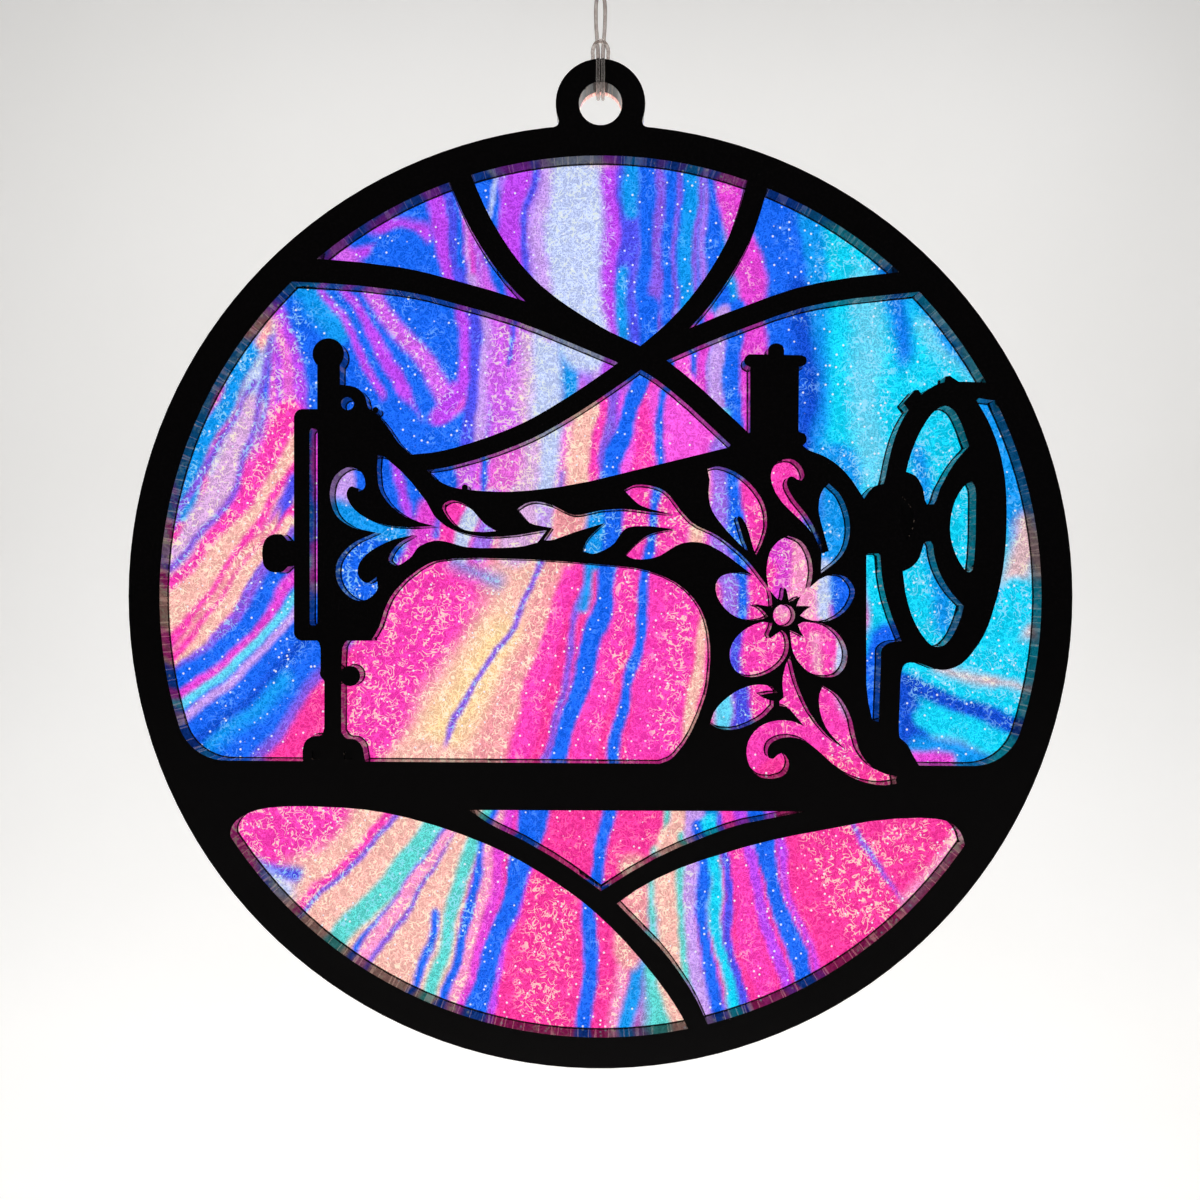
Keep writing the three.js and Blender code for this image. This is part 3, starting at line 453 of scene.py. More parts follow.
TOP = (
    ("blue_one", BLUE, 32, 4, ((472, 140), (482, 190), (496, 240), (512, 288))),
    ("white_one", PEARL, 4, 3, ((497, 168), (487, 222))),
    ("violet_one", VIOLET, 24, 4, ((526, 130), (519, 169), (511, 220), (514, 270), (524, 310))),
    ("indigo_one", INDIGO, 7, 3, ((538, 130), (535, 167), (528, 215), (524, 257), (534, 312))),
    ("lilac_one", PALE_LILAC, 16, 8, ((552, 130), (546, 200), (538, 252), (548, 318))),
    ("pearl", PEARL, 54, 10, ((582, 120), (578, 200), (574, 262), (586, 330))),
    ("violet_two", VIOLET, 18, 8, ((616, 120), (613, 190), (611, 238), (612, 300), (620, 340))),
    ("indigo_two", INDIGO, 20, 4, ((630, 120), (628, 200), (626, 275), (630, 340))),
    ("sky_one", SKY, 15, 5, ((633, 120), (631, 196))),
    ("blue_two", BLUE, 14, 3, ((648, 120), (646, 200), (645, 290), (646, 340))),
    ("violet_three", PURPLE, (6, 13), 4, ((660, 120), (658, 230), (657, 330))),
    ("blue_three", BLUE, 12, 3, ((672, 120), (670, 230), (669, 330))),
    ("violet_four", PURPLE, 4, 3, ((678, 120), (676, 230), (675, 330))),
    ("cyan", SKY, 16, 4, ((690, 120), (689, 230), (686, 330))),
    ("violet_five", PURPLE, 5, 3, ((700, 120), (698, 230), (694, 320))),
    ("white_two", LILAC, 7, 4, ((707, 130), (705, 230), (705, 330))),
    ("blue_four", BLUE, 16, 4, ((716, 130), (715, 230), (724, 330))),
    ("magenta", MAGENTA, (26, 34), 5, ((724, 130), (732, 200), (744, 250), (756, 310), (750, 420))),
    ("low_sky", SKY, 11, 5, ((624, 286), (622, 346))),
)

RIGHT = (
    ("upper_blue", BLUE, 48, 6, ((766, 160), (780, 240), (790, 300), (790, 430))),
    ("upper_sky", SKY, 26, 8, ((806, 180), (816, 250), (822, 330), (816, 440))),
    ("upper_cyan", CYAN, 44, 10, ((836, 200), (852, 262), (850, 360), (852, 470))),
    ("right_deep", DEEP_BLUE, 20, 12, ((800, 300), (808, 372), (806, 440))),
    ("white_column", PALE_CYAN, 30, 14, ((868, 300), (866, 380), (872, 461))),
    ("blue_streak", AZURE, 20, 12, ((884, 262), (896, 306), (909, 385), (912, 430))),
    ("right_far_sky", SKY, 44, 14, ((934, 300), (966, 352), (1000, 430))),
    ("right_far_white", PALE_CYAN, 14, 8, ((930, 338), (968, 382))),
    ("wheel_cyan", CYAN, 96, 14, ((930, 420), (944, 520), (930, 640))),
    ("wheel_sky", SKY, 20, 12, ((918, 470), (934, 560), (950, 640))),
    ("crescent_sky", SKY, 46, 10, ((1000, 420), (1024, 520))),
    ("crescent_peach", PALE_PEACH, 26, 12, ((1024, 540), (1018, 572))),
    ("crescent_blue", BLUE, 15, 6, ((984, 596), (1046, 592))),
    ("crescent_cyan", CYAN, 44, 8, ((1018, 612), (1006, 655))),
    ("crescent_cream", PALE_PEACH, 9, 8, ((1024, 642), (1016, 656))),
    ("low_cyan", CYAN, 100, 12, ((900, 680), (1020, 690))),
    ("low_cream_one", PALE_PEACH, 8, 10, ((952, 670), (978, 678))),
    ("low_cream_two", PALE_PEACH, 5, 7, ((998, 682), (1012, 687))),
    ("low_deep_one", DEEP_BLUE, 17, 5, ((880, 672), (902, 682), (951, 701), (1040, 732))),
    ("low_deep_two", DEEP_BLUE, 40, 8, ((904, 716), (916, 764))),
    ("low_sky", SKY, 26, 8, ((930, 752), (1000, 766))),
    ("low_cyan_two", CYAN, 18, 7, ((936, 724), (980, 738))),
    ("low_magenta", MAGENTA, 14, 6, ((908, 758), (936, 762))),
    ("slit_cyan", CYAN, 36, 6, ((884, 560), (884, 636))),
    ("slit_blue", BLUE, 36, 8, ((884, 656), (880, 730))),
)

MIDDLE = (
    ("small_pink", HOT_MAGENTA, 20, 4, ((684, 338), (680, 380))),
    ("small_blue_one", BLUE, 8, 3, ((698, 330), (694, 392))),
    ("small_lilac_one", MAGENTA, 11, 4, ((706, 330), (702, 400))),
    ("small_lilac_two", PALE_LILAC, 15, 4, ((720, 326), (716, 420))),
    ("small_blue_two", BLUE, 17, 3, ((736, 322), (734, 380), (732, 440))),
    ("cross_violet", VIOLET, 22, 5, ((614, 366), (604, 430), (592, 484))),
    ("cross_lilac", PALE_LILAC, 8, 4, ((616, 366), (606, 430))),
    ("arm_blue", BLUE, 26, 4, ((442, 489), (440, 510))),
    ("arm_pink_one", ORCHID, 20, 6, ((466, 479), (464, 500))),
    ("arm_blue_two", BLUE, 8, 3, ((484, 466), (482, 500))),
    ("arm_pink_two", BLUSH, 32, 8, ((505, 472), (502, 500))),
    ("arm_haze", HAZE, 19, 9, ((531, 454), (528, 500))),
    ("arm_pearl", PEARL, 20, 9, ((550, 443), (546, 500))),
    ("arm_cream", CREAM, 28, 9, ((584, 424), (578, 500))),
    ("arm_pink_three", PINK, 10, 3, ((601, 404), (594, 500))),
    ("arm_purple", PURPLE, 11, 4, ((611, 404), (604, 500))),
    ("cross_pink_one", PINK, 18, 3, ((656, 366), (648, 420), (640, 480), (634, 560))),
    ("cross_pink_two", HOT_MAGENTA, 54, 5, ((680, 412), (690, 450), (690, 500))),
    ("cross_tip", PALE_CYAN, 12, 5, ((722, 428), (722, 450))),
    ("vine_pink", PINK, 20, 4, ((452, 514), (448, 538))),
    ("vine_pearl", PEARL, 17, 4, ((471, 514), (466, 538))),
    ("vine_lilac", LILAC, 18, 5, ((490, 514), (486, 538))),
    ("vine_haze", HAZE, 34, 7, ((522, 514), (518, 538))),
    ("vine_pearl_two", PALE_LILAC, 14, 5, ((548, 514), (544, 538))),
    ("vine_peach", PEACH, 26, 5, ((570, 514), (566, 538))),
    ("vine_sky", SKY, 30, 5, ((600, 514), (598, 538))),
    ("vine_pink_two", PINK, 24, 4, ((636, 514), (628, 538))),
    ("vine_pink_three", PINK, 36, 4, ((676, 514), (672, 538))),
    ("vine_cream_two", CREAM, 14, 5, ((701, 490), (698, 560))),
    ("vine_lilac_two", LILAC, 24, 6, ((722, 466), (724, 560))),
    ("leaf_blue", BLUE, 17, 5, ((734, 460), (738, 556))),
    ("leaf_pink", PINK, 24, 5, ((756, 470), (760, 560))),
    ("hook_pink", PINK, 34, 6, ((784, 466), (786, 500), (792, 528))),
    ("hook_blue", BLUE, 22, 6, ((812, 512), (816, 560))),
    ("hook_leaf", SKY, 44, 8, ((838, 480), (842, 570))),
    ("scroll_lilac_wide", PALE_LILAC, 18, 5, ((342, 462), (342, 506))),
    ("scroll_lilac", PALE_LILAC, 9, 4, ((353, 462), (353, 506))),
    ("scroll_blue", BLUE, 66, 6, ((392, 446), (386, 530), (362, 586))),
    ("scroll_sky", SKY, 30, 8, ((352, 518), (392, 530))),
    ("leaf_violet", VIOLET, 8, 4, ((398, 462), (406, 508))),
    ("leaf_tip", MAGENTA, 22, 7, ((424, 520), (410, 560))),
    ("slit_pink", MAGENTA, 12, 3, ((312, 440), (312, 560))),
    ("tab_cream", CREAM, 56, 12, ((603, 70), (603, 120))),
)

ARCH = (
    ("left_pink", PINK, 110, 12, ((404, 700), (420, 628), (452, 566))),
    ("cream", CREAM, (60, 108), 22, ((530, 545), (506, 640), (488, 678), (466, 712), (448, 790))),
    ("dusty_patch", DUSTY_BLUE, 12, 16, ((468, 566), (484, 574))),
    ("yellow", YELLOW_CREAM, 44, 26, ((494, 650), (462, 706), (424, 764))),
    ("peach", PEACH, 20, 12, ((552, 560), (536, 627), (508, 690), (476, 770))),
    ("purple_line", PURPLE, 6, 3, ((560, 486), (542, 552), (527, 596), (507, 634), (480, 678), (437, 756))),
    ("pink_band", PINK, (16, 24), 5, ((572, 545), (557, 627), (537, 680), (515, 770))),
    ("indigo", PURPLE, 7, 4, ((584, 580), (572, 648), (556, 712), (542, 766))),
    ("cyan", SKY, 10, 6, ((590, 556), (586, 596))),
    ("pink_mid", PINK, 26, 4, ((628, 556), (618, 620), (604, 662), (584, 766))),
    ("pink_right", PINK, 52, 4, ((678, 556), (668, 640), (652, 770))),
    ("edge_cream", CREAM, 11, 4, ((708, 590), (702, 650), (686, 744))),
)

# Two long blue bands run from the crossing down through the arch into the base.
LONG = (
    ("blue_one", BLUE, 19, 3, ((650, 320), (640, 380), (626, 424), (613, 480), (609, 566), (602, 615),
                                    (587, 658), (570, 712), (554, 770), (541, 812), (520, 865), (503, 924),
                                    (476, 1010))),
    ("blue_two", BLUE, (7, 17), 3, ((672, 340), (665, 392), (658, 465), (648, 571), (641, 615),
                                         (634, 656), (622, 716), (611, 780), (600, 860), (592, 906),
                                         (585, 1040))),
)

LOW_LEFT = (
    ("pink_speck", PINK, 84, 16, ((222, 850), (300, 812))),
    ("patch_indigo", INDIGO, 16, 8, ((256, 866), (282, 874))),
    ("pearl", PEARL, 18, 12, ((262, 874), (286, 896))),
    ("cream", CREAM, 84, 12, ((420, 790), (366, 868), (320, 930))),
    ("pink_line", PINK, 9, 4, ((392, 806), (349, 856), (298, 906))),
    ("purple_one", PURPLE, 5, 3, ((412, 790), (392, 816), (354, 859), (302, 912))),
    ("aqua_one", AQUA, 22, 6, ((452, 796), (431, 830), (398, 875), (340, 940))),
    ("blue_one", BLUE, 6, 3, ((462, 800), (444, 834), (412, 878), (355, 955))),
    ("pink_one", PALE_PINK, 12, 4, ((466, 808), (446, 842), (402, 900), (368, 952))),
    ("purple_two", PURPLE, 5, 3, ((472, 810), (456, 836), (431, 875), (368, 964))),
    ("cream_two", CREAM, 22, 4, ((482, 806), (464, 842), (430, 905), (392, 990))),
    ("blue_four", BLUE, 9, 4, ((432, 926), (414, 996))),
    ("aqua_two", AQUA, 14, 5, ((490, 806), (474, 844), (456, 895), (430, 1002))),
    ("blue_two", BLUE, 11, 3, ((498, 806), (485, 849), (471, 900), (445, 1010))),
    ("pink_two", PALE_PINK, 10, 4, ((504, 808), (490, 854), (478, 914), (454, 1010))),
    ("magenta", MAGENTA, 11, 4, ((512, 808), (500, 856), (486, 926), (464, 1012))),
    ("blue_three", BLUE, 20, 3, ((534, 806), (518, 865), (503, 924), (475, 1015))),
    ("violet", VIOLET, 6, 3, ((538, 840), (527, 870), (515, 922), (490, 1010))),
    ("rose", ROSE, (40, 84), 4, ((566, 806), (560, 870), (546, 940), (528, 1050))),
    ("rose_two", ROSE, 34, 4, ((636, 800), (624, 900), (612, 1050))),
    ("streak", PALE_PINK, 12, 8, ((624, 930), (618, 1010))),
    ("blue_five", SKY, 16, 5, ((644, 930), (634, 990), (622, 1050))),
    ("aqua_three", AQUA, 36, 12, ((668, 960), (660, 1050))),
)

BASE = (
    ("pearl", PEARL, 26, 6, ((492, 800), (484, 828))),
    ("pink_one", PINK, 18, 4, ((512, 800), (508, 836))),
    ("indigo_one", INDIGO, 11, 3, ((526, 800), (522, 838))),
    ("pink_two", ROSE, 38, 4, ((576, 800), (568, 856))),
    ("pink_three", ROSE, 52, 4, ((642, 800), (632, 880))),
    ("aqua", AQUA, 8, 4, ((669, 800), (664, 860))),
    ("cream", CREAM, 18, 4, ((682, 800), (676, 860))),
    ("lilac", PALE_LILAC, 16, 4, ((700, 800), (694, 860))),
    ("sky", SKY, 14, 4, ((715, 796), (712, 850))),
    ("pink_four", PINK, 12, 4, ((730, 796), (734, 846))),
    ("blue", BLUE, 18, 4, ((752, 796), (762, 846))),
    ("rose", ROSE, 50, 5, ((786, 796), (800, 836))),
)

LOW_RIGHT = (
    ("peach", PEACH, 30, 8, ((636, 880), (630, 940))),
    ("aqua_edge", AQUA, 8, 4, ((656, 860), (650, 930), (660, 1040))),
    ("cream", CREAM, 28, 6, ((672, 850), (668, 920), (684, 1030))),
    ("aqua_dots", AQUA, 8, 4, ((682, 850), (680, 920), (698, 1030))),
    ("lilac", PALE_LILAC, 13, 4, ((692, 846), (690, 920), (708, 1026))),
    ("blue_one", BLUE, 13, 3, ((702, 842), (702, 910), (720, 1026))),
    ("cyan", CYAN, 13, 4, ((712, 838), (715, 910), (726, 965), (735, 1020))),
    ("indigo", INDIGO, 9, 3, ((724, 834), (728, 910), (742, 1016))),
    ("pink", PINK, (13, 24), 3, ((732, 830), (745, 910), (768, 1006))),
    ("violet_one", VIOLET, 11, 3, ((743, 826), (762, 910), (790, 1000))),
    ("blue_two", BLUE, 18, 3, ((758, 822), (778, 900), (806, 990))),
    ("violet_two", VIOLET, 10, 4, ((772, 818), (795, 900), (820, 980))),
    ("rose", ROSE, 76, 5, ((814, 800), (830, 880), (856, 970))),
    ("purple_line", PURPLE, 5, 3, ((846, 808), (860, 834), (880, 867), (908, 912))),
    ("rose_two", ROSE, 46, 8, ((890, 800), (914, 870))),
    ("rim_pearl", PALE_PINK, 14, 8, ((958, 836), (912, 896))),
)

BANDS = (BROAD, LEFT_ARCS, UPPER_LEFT, TOP, RIGHT, ARCH, MIDDLE, BASE, LOW_LEFT, LOW_RIGHT, LONG)

# The flower and the ornaments beside it, whose parts have colours of their own.
FLOWER = (
    ("petal_top", MAGENTA, 26, 6, ((778, 540), (780, 604))),
    ("petal_top_pale", PALE_PINK, 15, 6, ((798, 540), (797, 600))),
    ("petal_left_lilac", LILAC, 16, 6, ((726, 560), (727, 626))),
    ("petal_left_blue", BLUE, 14, 6, ((741, 560), (742, 626))),
    ("petal_left_pink", PINK, 26, 6, ((762, 572), (762, 626))),
    ("petal_right_pale", PALE_PINK, 24, 6, ((808, 574), (806, 626))),
    ("petal_right_white", PEARL, 13, 5, ((825, 568), (824, 628))),
    ("petal_right_blue", BLUE, 20, 5, ((843, 568), (842, 630))),
    ("petal_low_indigo", INDIGO, 14, 5, ((738, 626), (738, 684))),
    ("petal_low_pink", PINK, 50, 6, ((770, 634), (768, 692))),
    ("petal_low_rose", PINK, 36, 6, ((812, 636), (810, 690))),
    ("petal_low_pale", PALE_PINK, 10, 6, ((816, 636), (814, 668))),
    ("petal_low_edge", PEARL, 6, 3, ((839, 632), (838, 676))),
    ("eye_pale", PALE_PINK, 12, 5, ((780, 607), (786, 614))),
    ("side_leaf_cyan", PALE_CYAN, 16, 5, ((722, 684), (722, 732))),
    ("side_leaf_indigo", INDIGO, 18, 5, ((740, 684), (738, 732))),
)

# Where the pale worm-shaped flecks crowd together: a label, density, width, soft edge, line.
FLECK_BASE = 0.34
FLECKS = (
    ("left_arcs", 1.00, 90, 14, ((262, 340), (240, 450), (200, 590))),
    ("magenta_arm", 0.62, 26, 10, ((380, 300), (420, 360), (446, 400))),
    ("pink_stripe", 0.80, 40, 16, ((510, 330), (508, 430))),
    ("pearl_stripe", 0.80, 40, 16, ((546, 320), (546, 430))),
    ("top_pearl", 0.85, 56, 16, ((582, 150), (578, 320))),
    ("upper_cyan", 0.75, 50, 20, ((840, 240), (862, 276))),
    ("white_column", 1.00, 46, 12, ((870, 300), (868, 470))),
    ("right_far", 0.80, 50, 16, ((940, 330), (980, 390))),
    ("wheel", 0.80, 80, 20, ((930, 430), (944, 620))),
    ("crescent", 1.00, 50, 14, ((1020, 530), (1012, 600))),
    ("low_right", 0.80, 60, 20, ((940, 670), (1010, 690))),
    ("arch_left", 0.95, 120, 24, ((390, 600), (420, 660), (390, 740))),
    ("arch_cream", 1.00, 70, 16, ((520, 560), (490, 670), (440, 750))),
    ("arch_streaks", 0.80, 26, 14, ((684, 590), (664, 740))),
    ("arch_streak_two", 0.60, 14, 10, ((630, 580), (600, 720))),
    ("arm", 0.85, 90, 20, ((500, 470), (560, 470))),
    ("vine", 0.75, 60, 16, ((500, 520), (720, 520))),
    ("low_left_pink", 0.90, 90, 20, ((240, 850), (320, 830))),
    ("low_left_cream", 1.00, 100, 20, ((300, 890), (400, 880), (430, 900))),
    ("low_rose", 0.75, 50, 16, ((550, 890), (540, 1010))),
    ("low_right_rose", 0.95, 60, 18, ((830, 834), (870, 910))),
    ("low_right_rim", 0.80, 60, 18, ((910, 850), (950, 850))),
    ("low_right_cream", 0.90, 40, 12, ((670, 870), (668, 950))),
    ("flower", 0.60, 110, 20, ((780, 560), (780, 690))),
    ("leaf_end", 0.90, 40, 14, ((850, 756), (882, 782))),
)

SOFTNESS = 1.5               # all the soft edges together
BAND_REACH = 14              # grid steps that a band runs on past its ends
LINE_SPACING = 7             # grid steps between the points that a band's line is worked out at
RIPPLES = (                  # size, two wave numbers and a start, for the slow waver of the bands
    (2.0, 0.031, 0.044, 0.4), (1.4, -0.052, 0.067, 1.9), (0.7, 0.118, -0.093, 3.1),
)
EDGE_RIPPLES = ((0.45, 0.24, 0.21, 0.7), (0.3, -0.37, 0.33, 2.2))


def grid_steps(x, z):
    """Where a place of the panel's front (mm) lies on the drawing grid, seen from the camera."""
    scale = FOCAL_STEPS / (PANEL_FRONT_Y - CAMERA_Y)
    return IMAGE_SIZE / 2 + (x - CAMERA_X) * scale, IMAGE_SIZE / 2 - (z - CAMERA_Z) * scale


def ripple(cols, rows, waves):
    """How far each place is moved across and down by a few slow waves."""
    across = np.zeros_like(cols)
    down = np.zeros_like(rows)
    for size, one, two, start in waves:
        across += size * np.sin(cols * one + rows * two + start)
        down += size * np.cos(cols * two - rows * one + start * 2)
    return across, down


def band_share(cols, rows, line, width, soft, reach):
    """1 inside a band, 0 outside, with a soft edge."""
    first, last = width if isinstance(width, tuple) else (width, width)
    flat = [Vector((*place, 0)) for place in line]
    start = flat[0] + (flat[0] - flat[1]).normalized() * reach
    end = flat[-1] + (flat[-1] - flat[-2]).normalized() * reach
    points = centripetal([start, *flat, end] if reach else flat, LINE_SPACING)
    soft = soft * SOFTNESS
    margin = max(first, last) / 2 + soft
    low_col = min(p.x for p in points) - margin
    high_col = max(p.x for p in points) + margin
    low_row = min(p.y for p in points) - margin
    high_row = max(p.y for p in points) + margin
    near = (cols > low_col) & (cols < high_col) & (rows > low_row) & (rows < high_row)
    share = np.zeros_like(cols)
    if not near.any():
        return share
    col = cols[near]
    row = rows[near]
    best = np.full_like(col, FAR_AWAY)
    count = len(points) - 1
    for i in range(count):
        a, b = points[i], points[i + 1]
        run = b - a
        length = run.length_squared
        along = np.clip(((col - a.x) * run.x + (row - a.y) * run.y) / length, 0, 1)
        far = np.hypot(col - a.x - along * run.x, row - a.y - along * run.y)
        half = (first + (last - first) * (i + along) / count) / 2
        best = np.minimum(best, far - half)
    inside = np.clip(0.5 - best / soft, 0, 1)
    share[near] = inside * inside * (3 - 2 * inside)
    return share


def paint(x, z):
    """Marble colour and fleck density at places of the panel (mm)."""
    cols, rows = grid_steps(x, z)
    across, down = ripple(cols, rows, RIPPLES)
    across_two, down_two = ripple(cols, rows, EDGE_RIPPLES)
    cols = cols + across + across_two
    rows = rows + down + down_two
    colour = np.tile(np.array(linear(BLUE)), (len(cols), 1))
    for group in BANDS + (FLOWER,):
        for _, tone, width, soft, line in group:
            reach = 0 if group in (BROAD, FLOWER) else BAND_REACH
            share = band_share(cols, rows, line, width, soft, reach)[:, None]
            colour = colour * (1 - share) + np.array(linear(tone)) * share
    fleck = np.full(len(cols), FLECK_BASE)
    for _, density, width, soft, line in FLECKS:
        share = band_share(cols, rows, line, width, soft, 0)
        fleck = np.maximum(fleck, FLECK_BASE + (density - FLECK_BASE) * share)
    return colour, fleck


# Marbled panel: mesh
CELL = 0.92                  # mm, a cell of the panel's mesh where the lattice hides it, and of its back
EDGE_MARGIN = 0.4            # cells kept between the mesh's cells and the outline
CHAMFER = 0.12               # mm off the panel's cut edges
SEEN_MARGIN = 1              # cells round a window that are still fine
FACE_PLAY = 0.01             # mm that a point of a face may lie off it
RAY_START_Y = -0.02          # m, in front of the lattice
SIDES = (                    # a cell's sides in half cells: the step to the next cell, the start and the end
    ((0, -1), (0, 0), (2, 0)), ((1, 0), (2, 0), (2, 2)), ((0, 1), (2, 2), (0, 2)), ((-1, 0), (0, 2), (0, 0)),
)


def outline_loops(node, y_face):
    """The edge loops of a node's flat face at y_face (mm), as closed lists of (x, z)."""
    data = node.data
    spots = [(round(v.co.x / MM, 3), round(v.co.z / MM, 3)) for v in data.vertices]
    on_face = [abs(v.co.y / MM - y_face) < FACE_PLAY for v in data.vertices]
    count = {}
    for polygon in data.polygons:
        if not all(on_face[v] for v in polygon.vertices):
            continue
        for a, b in polygon.edge_keys:
            pair = frozenset((spots[a], spots[b]))
            count[pair] = count.get(pair, 0) + 1
    follow = {}
    for pair, times in count.items():
        if times == 1 and len(pair) == 2:
            a, b = pair
            follow.setdefault(a, []).append(b)
            follow.setdefault(b, []).append(a)
    loops = []
    left = set(follow)
    for start in sorted(follow):
        if start not in left:
            continue
        left.discard(start)
        loop = [start]
        ahead = follow[start]
        while ahead:
            left.discard(ahead[0])
            loop.append(ahead[0])
            ahead = [spot for spot in follow[ahead[0]] if spot in left]
        loops.append(np.array(loop))
    return loops


def inside_loops(x, z, loops):
    """True where a place lies inside the outline and outside its hole (even-odd rule)."""
    odd = np.zeros(x.shape, bool)
    for loop in loops:
        ends = np.roll(loop, -1, axis=0)
        for (ax, az), (bx, bz) in zip(loop, ends):
            if az == bz:
                continue
            crosses = (az > z) != (bz > z)
            at = ax + (z - az) / (bz - az) * (bx - ax)
            odd ^= crosses & (x < at)
    return odd


def nearest_on_loops(x, z, loops):
    """The nearest place on the outline to each place, and how far it is."""
    best = np.full(x.shape, FAR_AWAY)
    near_x = np.zeros_like(x)
    near_z = np.zeros_like(z)
    for loop in loops:
        ends = np.roll(loop, -1, axis=0)
        for (ax, az), (bx, bz) in zip(loop, ends):
            run_x, run_z = bx - ax, bz - az
            length = run_x * run_x + run_z * run_z
            along = np.clip(((x - ax) * run_x + (z - az) * run_z) / length, 0, 1)
            px, pz = ax + along * run_x, az + along * run_z
            far = np.hypot(x - px, z - pz)
            closer = far < best
            best = np.where(closer, far, best)
            near_x = np.where(closer, px, near_x)
            near_z = np.where(closer, pz, near_z)
    return near_x, near_z, best


def lattice_cover(x, z):
    """True where the black lattice hides the panel from the front."""
    data = NODES["lattice"].data
    tree = BVHTree.FromPolygons([v.co for v in data.vertices], [p.vertices for p in data.polygons])
    hidden = np.zeros(len(x), bool)
    for i, (a, b) in enumerate(zip(x, z)):
        hit = tree.ray_cast(Vector((a * MM, RAY_START_Y, b * MM)), Vector((0, 1, 0)))
        hidden[i] = hit[0] is not None
    return hidden


def next_cells(cells):
    """The four neighbours of every cell, with False past the border."""
    wide = np.pad(cells, 1)
    return wide[2:, 1:-1], wide[:-2, 1:-1], wide[1:-1, 2:], wide[1:-1, :-2]


def panel_cells(loops):
    """The grid's corner (mm), the cells inside the outline, and those that show through the lattice."""
    corners = np.concatenate(loops)
    low, high = corners.min(axis=0), corners.max(axis=0)
    across = int((high[0] - low[0]) / CELL) + 2
    down = int((high[1] - low[1]) / CELL) + 2
    origin = ((low[0] + high[0]) / 2 - across * CELL / 2, low[1] - CELL / 2)
    index_x, index_z = np.meshgrid(np.arange(across + 1), np.arange(down + 1), indexing="ij")
    grid_x = origin[0] + index_x * CELL
    grid_z = origin[1] + index_z * CELL
    room = nearest_on_loops(grid_x, grid_z, loops)[2]
    good = inside_loops(grid_x, grid_z, loops) & (room > EDGE_MARGIN * CELL)
    kept = good[:-1, :-1] & good[1:, :-1] & good[:-1, 1:] & good[1:, 1:]

    middle_x = grid_x[:-1, :-1] + CELL / 2
    middle_z = grid_z[:-1, :-1] + CELL / 2
    seen = np.zeros_like(kept)
    seen[kept] = ~lattice_cover(middle_x[kept], middle_z[kept])
    for _ in range(SEEN_MARGIN):
        seen = (seen | np.logical_or.reduce(next_cells(seen))) & kept
    seen &= np.logical_and.reduce(next_cells(kept))
    return origin, kept, seen


class SheetMesh:
    """The panel's points and faces, on a grid of half cells."""

    def __init__(self, origin):
        self.origin = origin
        self.places = []
        self.faces = []
        self.known = {}

    def spot(self, i, j):
        """Where a half-cell step lies across and up (mm)."""
        return self.origin[0] + i * CELL / 2, self.origin[1] + j * CELL / 2

    def point(self, place):
        self.places.append(place)
        return len(self.places) - 1

    def corner(self, i, j, y):
        """The point of a grid place on the front or back, which is made only once."""
        if (i, j, y) not in self.known:
            x, z = self.spot(i, j)
            self.known[i, j, y] = self.point((x, y, z))
        return self.known[i, j, y]

    def face(self, corners, y):
        self.faces.append([self.corner(i, j, y) for i, j in corners])


def cell_sides(i, j):
    """A cell's four sides in turn: the cell beyond it, and the side's start and end in half cells."""
    for (over, up), start, end in SIDES:
        yield (i + over, j + up), (2 * i + start[0], 2 * j + start[1]), (2 * i + end[0], 2 * j + end[1])


def add_cell(mesh, i, j, seen):
    """A cell's plain back, and its front: in four parts where it is seen, else fitted to its neighbours."""
    a, b = 2 * i, 2 * j
    mesh.face([(a, b), (a, b + 2), (a + 2, b + 2), (a + 2, b)], PANEL_BACK_Y)
    if seen[i, j]:
        for p in (a, a + 1):
            for q in (b, b + 1):
                mesh.face([(p, q), (p + 1, q), (p + 1, q + 1), (p, q + 1)], PANEL_FRONT_Y)
        return
    ring = []
    for beyond, start, end in cell_sides(i, j):
        ring.append(start)
        if seen[beyond]:
            ring.append(((start[0] + end[0]) // 2, (start[1] + end[1]) // 2))
    mesh.face(ring, PANEL_FRONT_Y)


def add_edge(mesh, rim, loops):
    """The strip from the outer cells to the outline, both chamfers, and the cut edge between them."""
    points = sorted({point for pair in rim for point in pair})
    rim_x, rim_z = np.array([mesh.spot(*point) for point in points]).T
    out_x, out_z, far = nearest_on_loops(rim_x, rim_z, loops)
    pull = CHAMFER / far
    in_x = out_x + (rim_x - out_x) * pull
    in_z = out_z + (rim_z - out_z) * pull
    rings = (
        (in_x, in_z, PANEL_FRONT_Y), (out_x, out_z, PANEL_FRONT_Y + CHAMFER),
        (out_x, out_z, PANEL_BACK_Y - CHAMFER), (in_x, in_z, PANEL_BACK_Y),
    )
    ladder = {}
    for k, point in enumerate(points):
        steps = [mesh.point((x[k], y, z[k])) for x, z, y in rings]
        ladder[point] = [mesh.corner(*point, PANEL_FRONT_Y), *steps, mesh.corner(*point, PANEL_BACK_Y)]
    for start, end in rim:
        for k in range(len(rings) + 1):
            mesh.faces.append([ladder[end][k], ladder[start][k], ladder[start][k + 1], ladder[end][k + 1]])


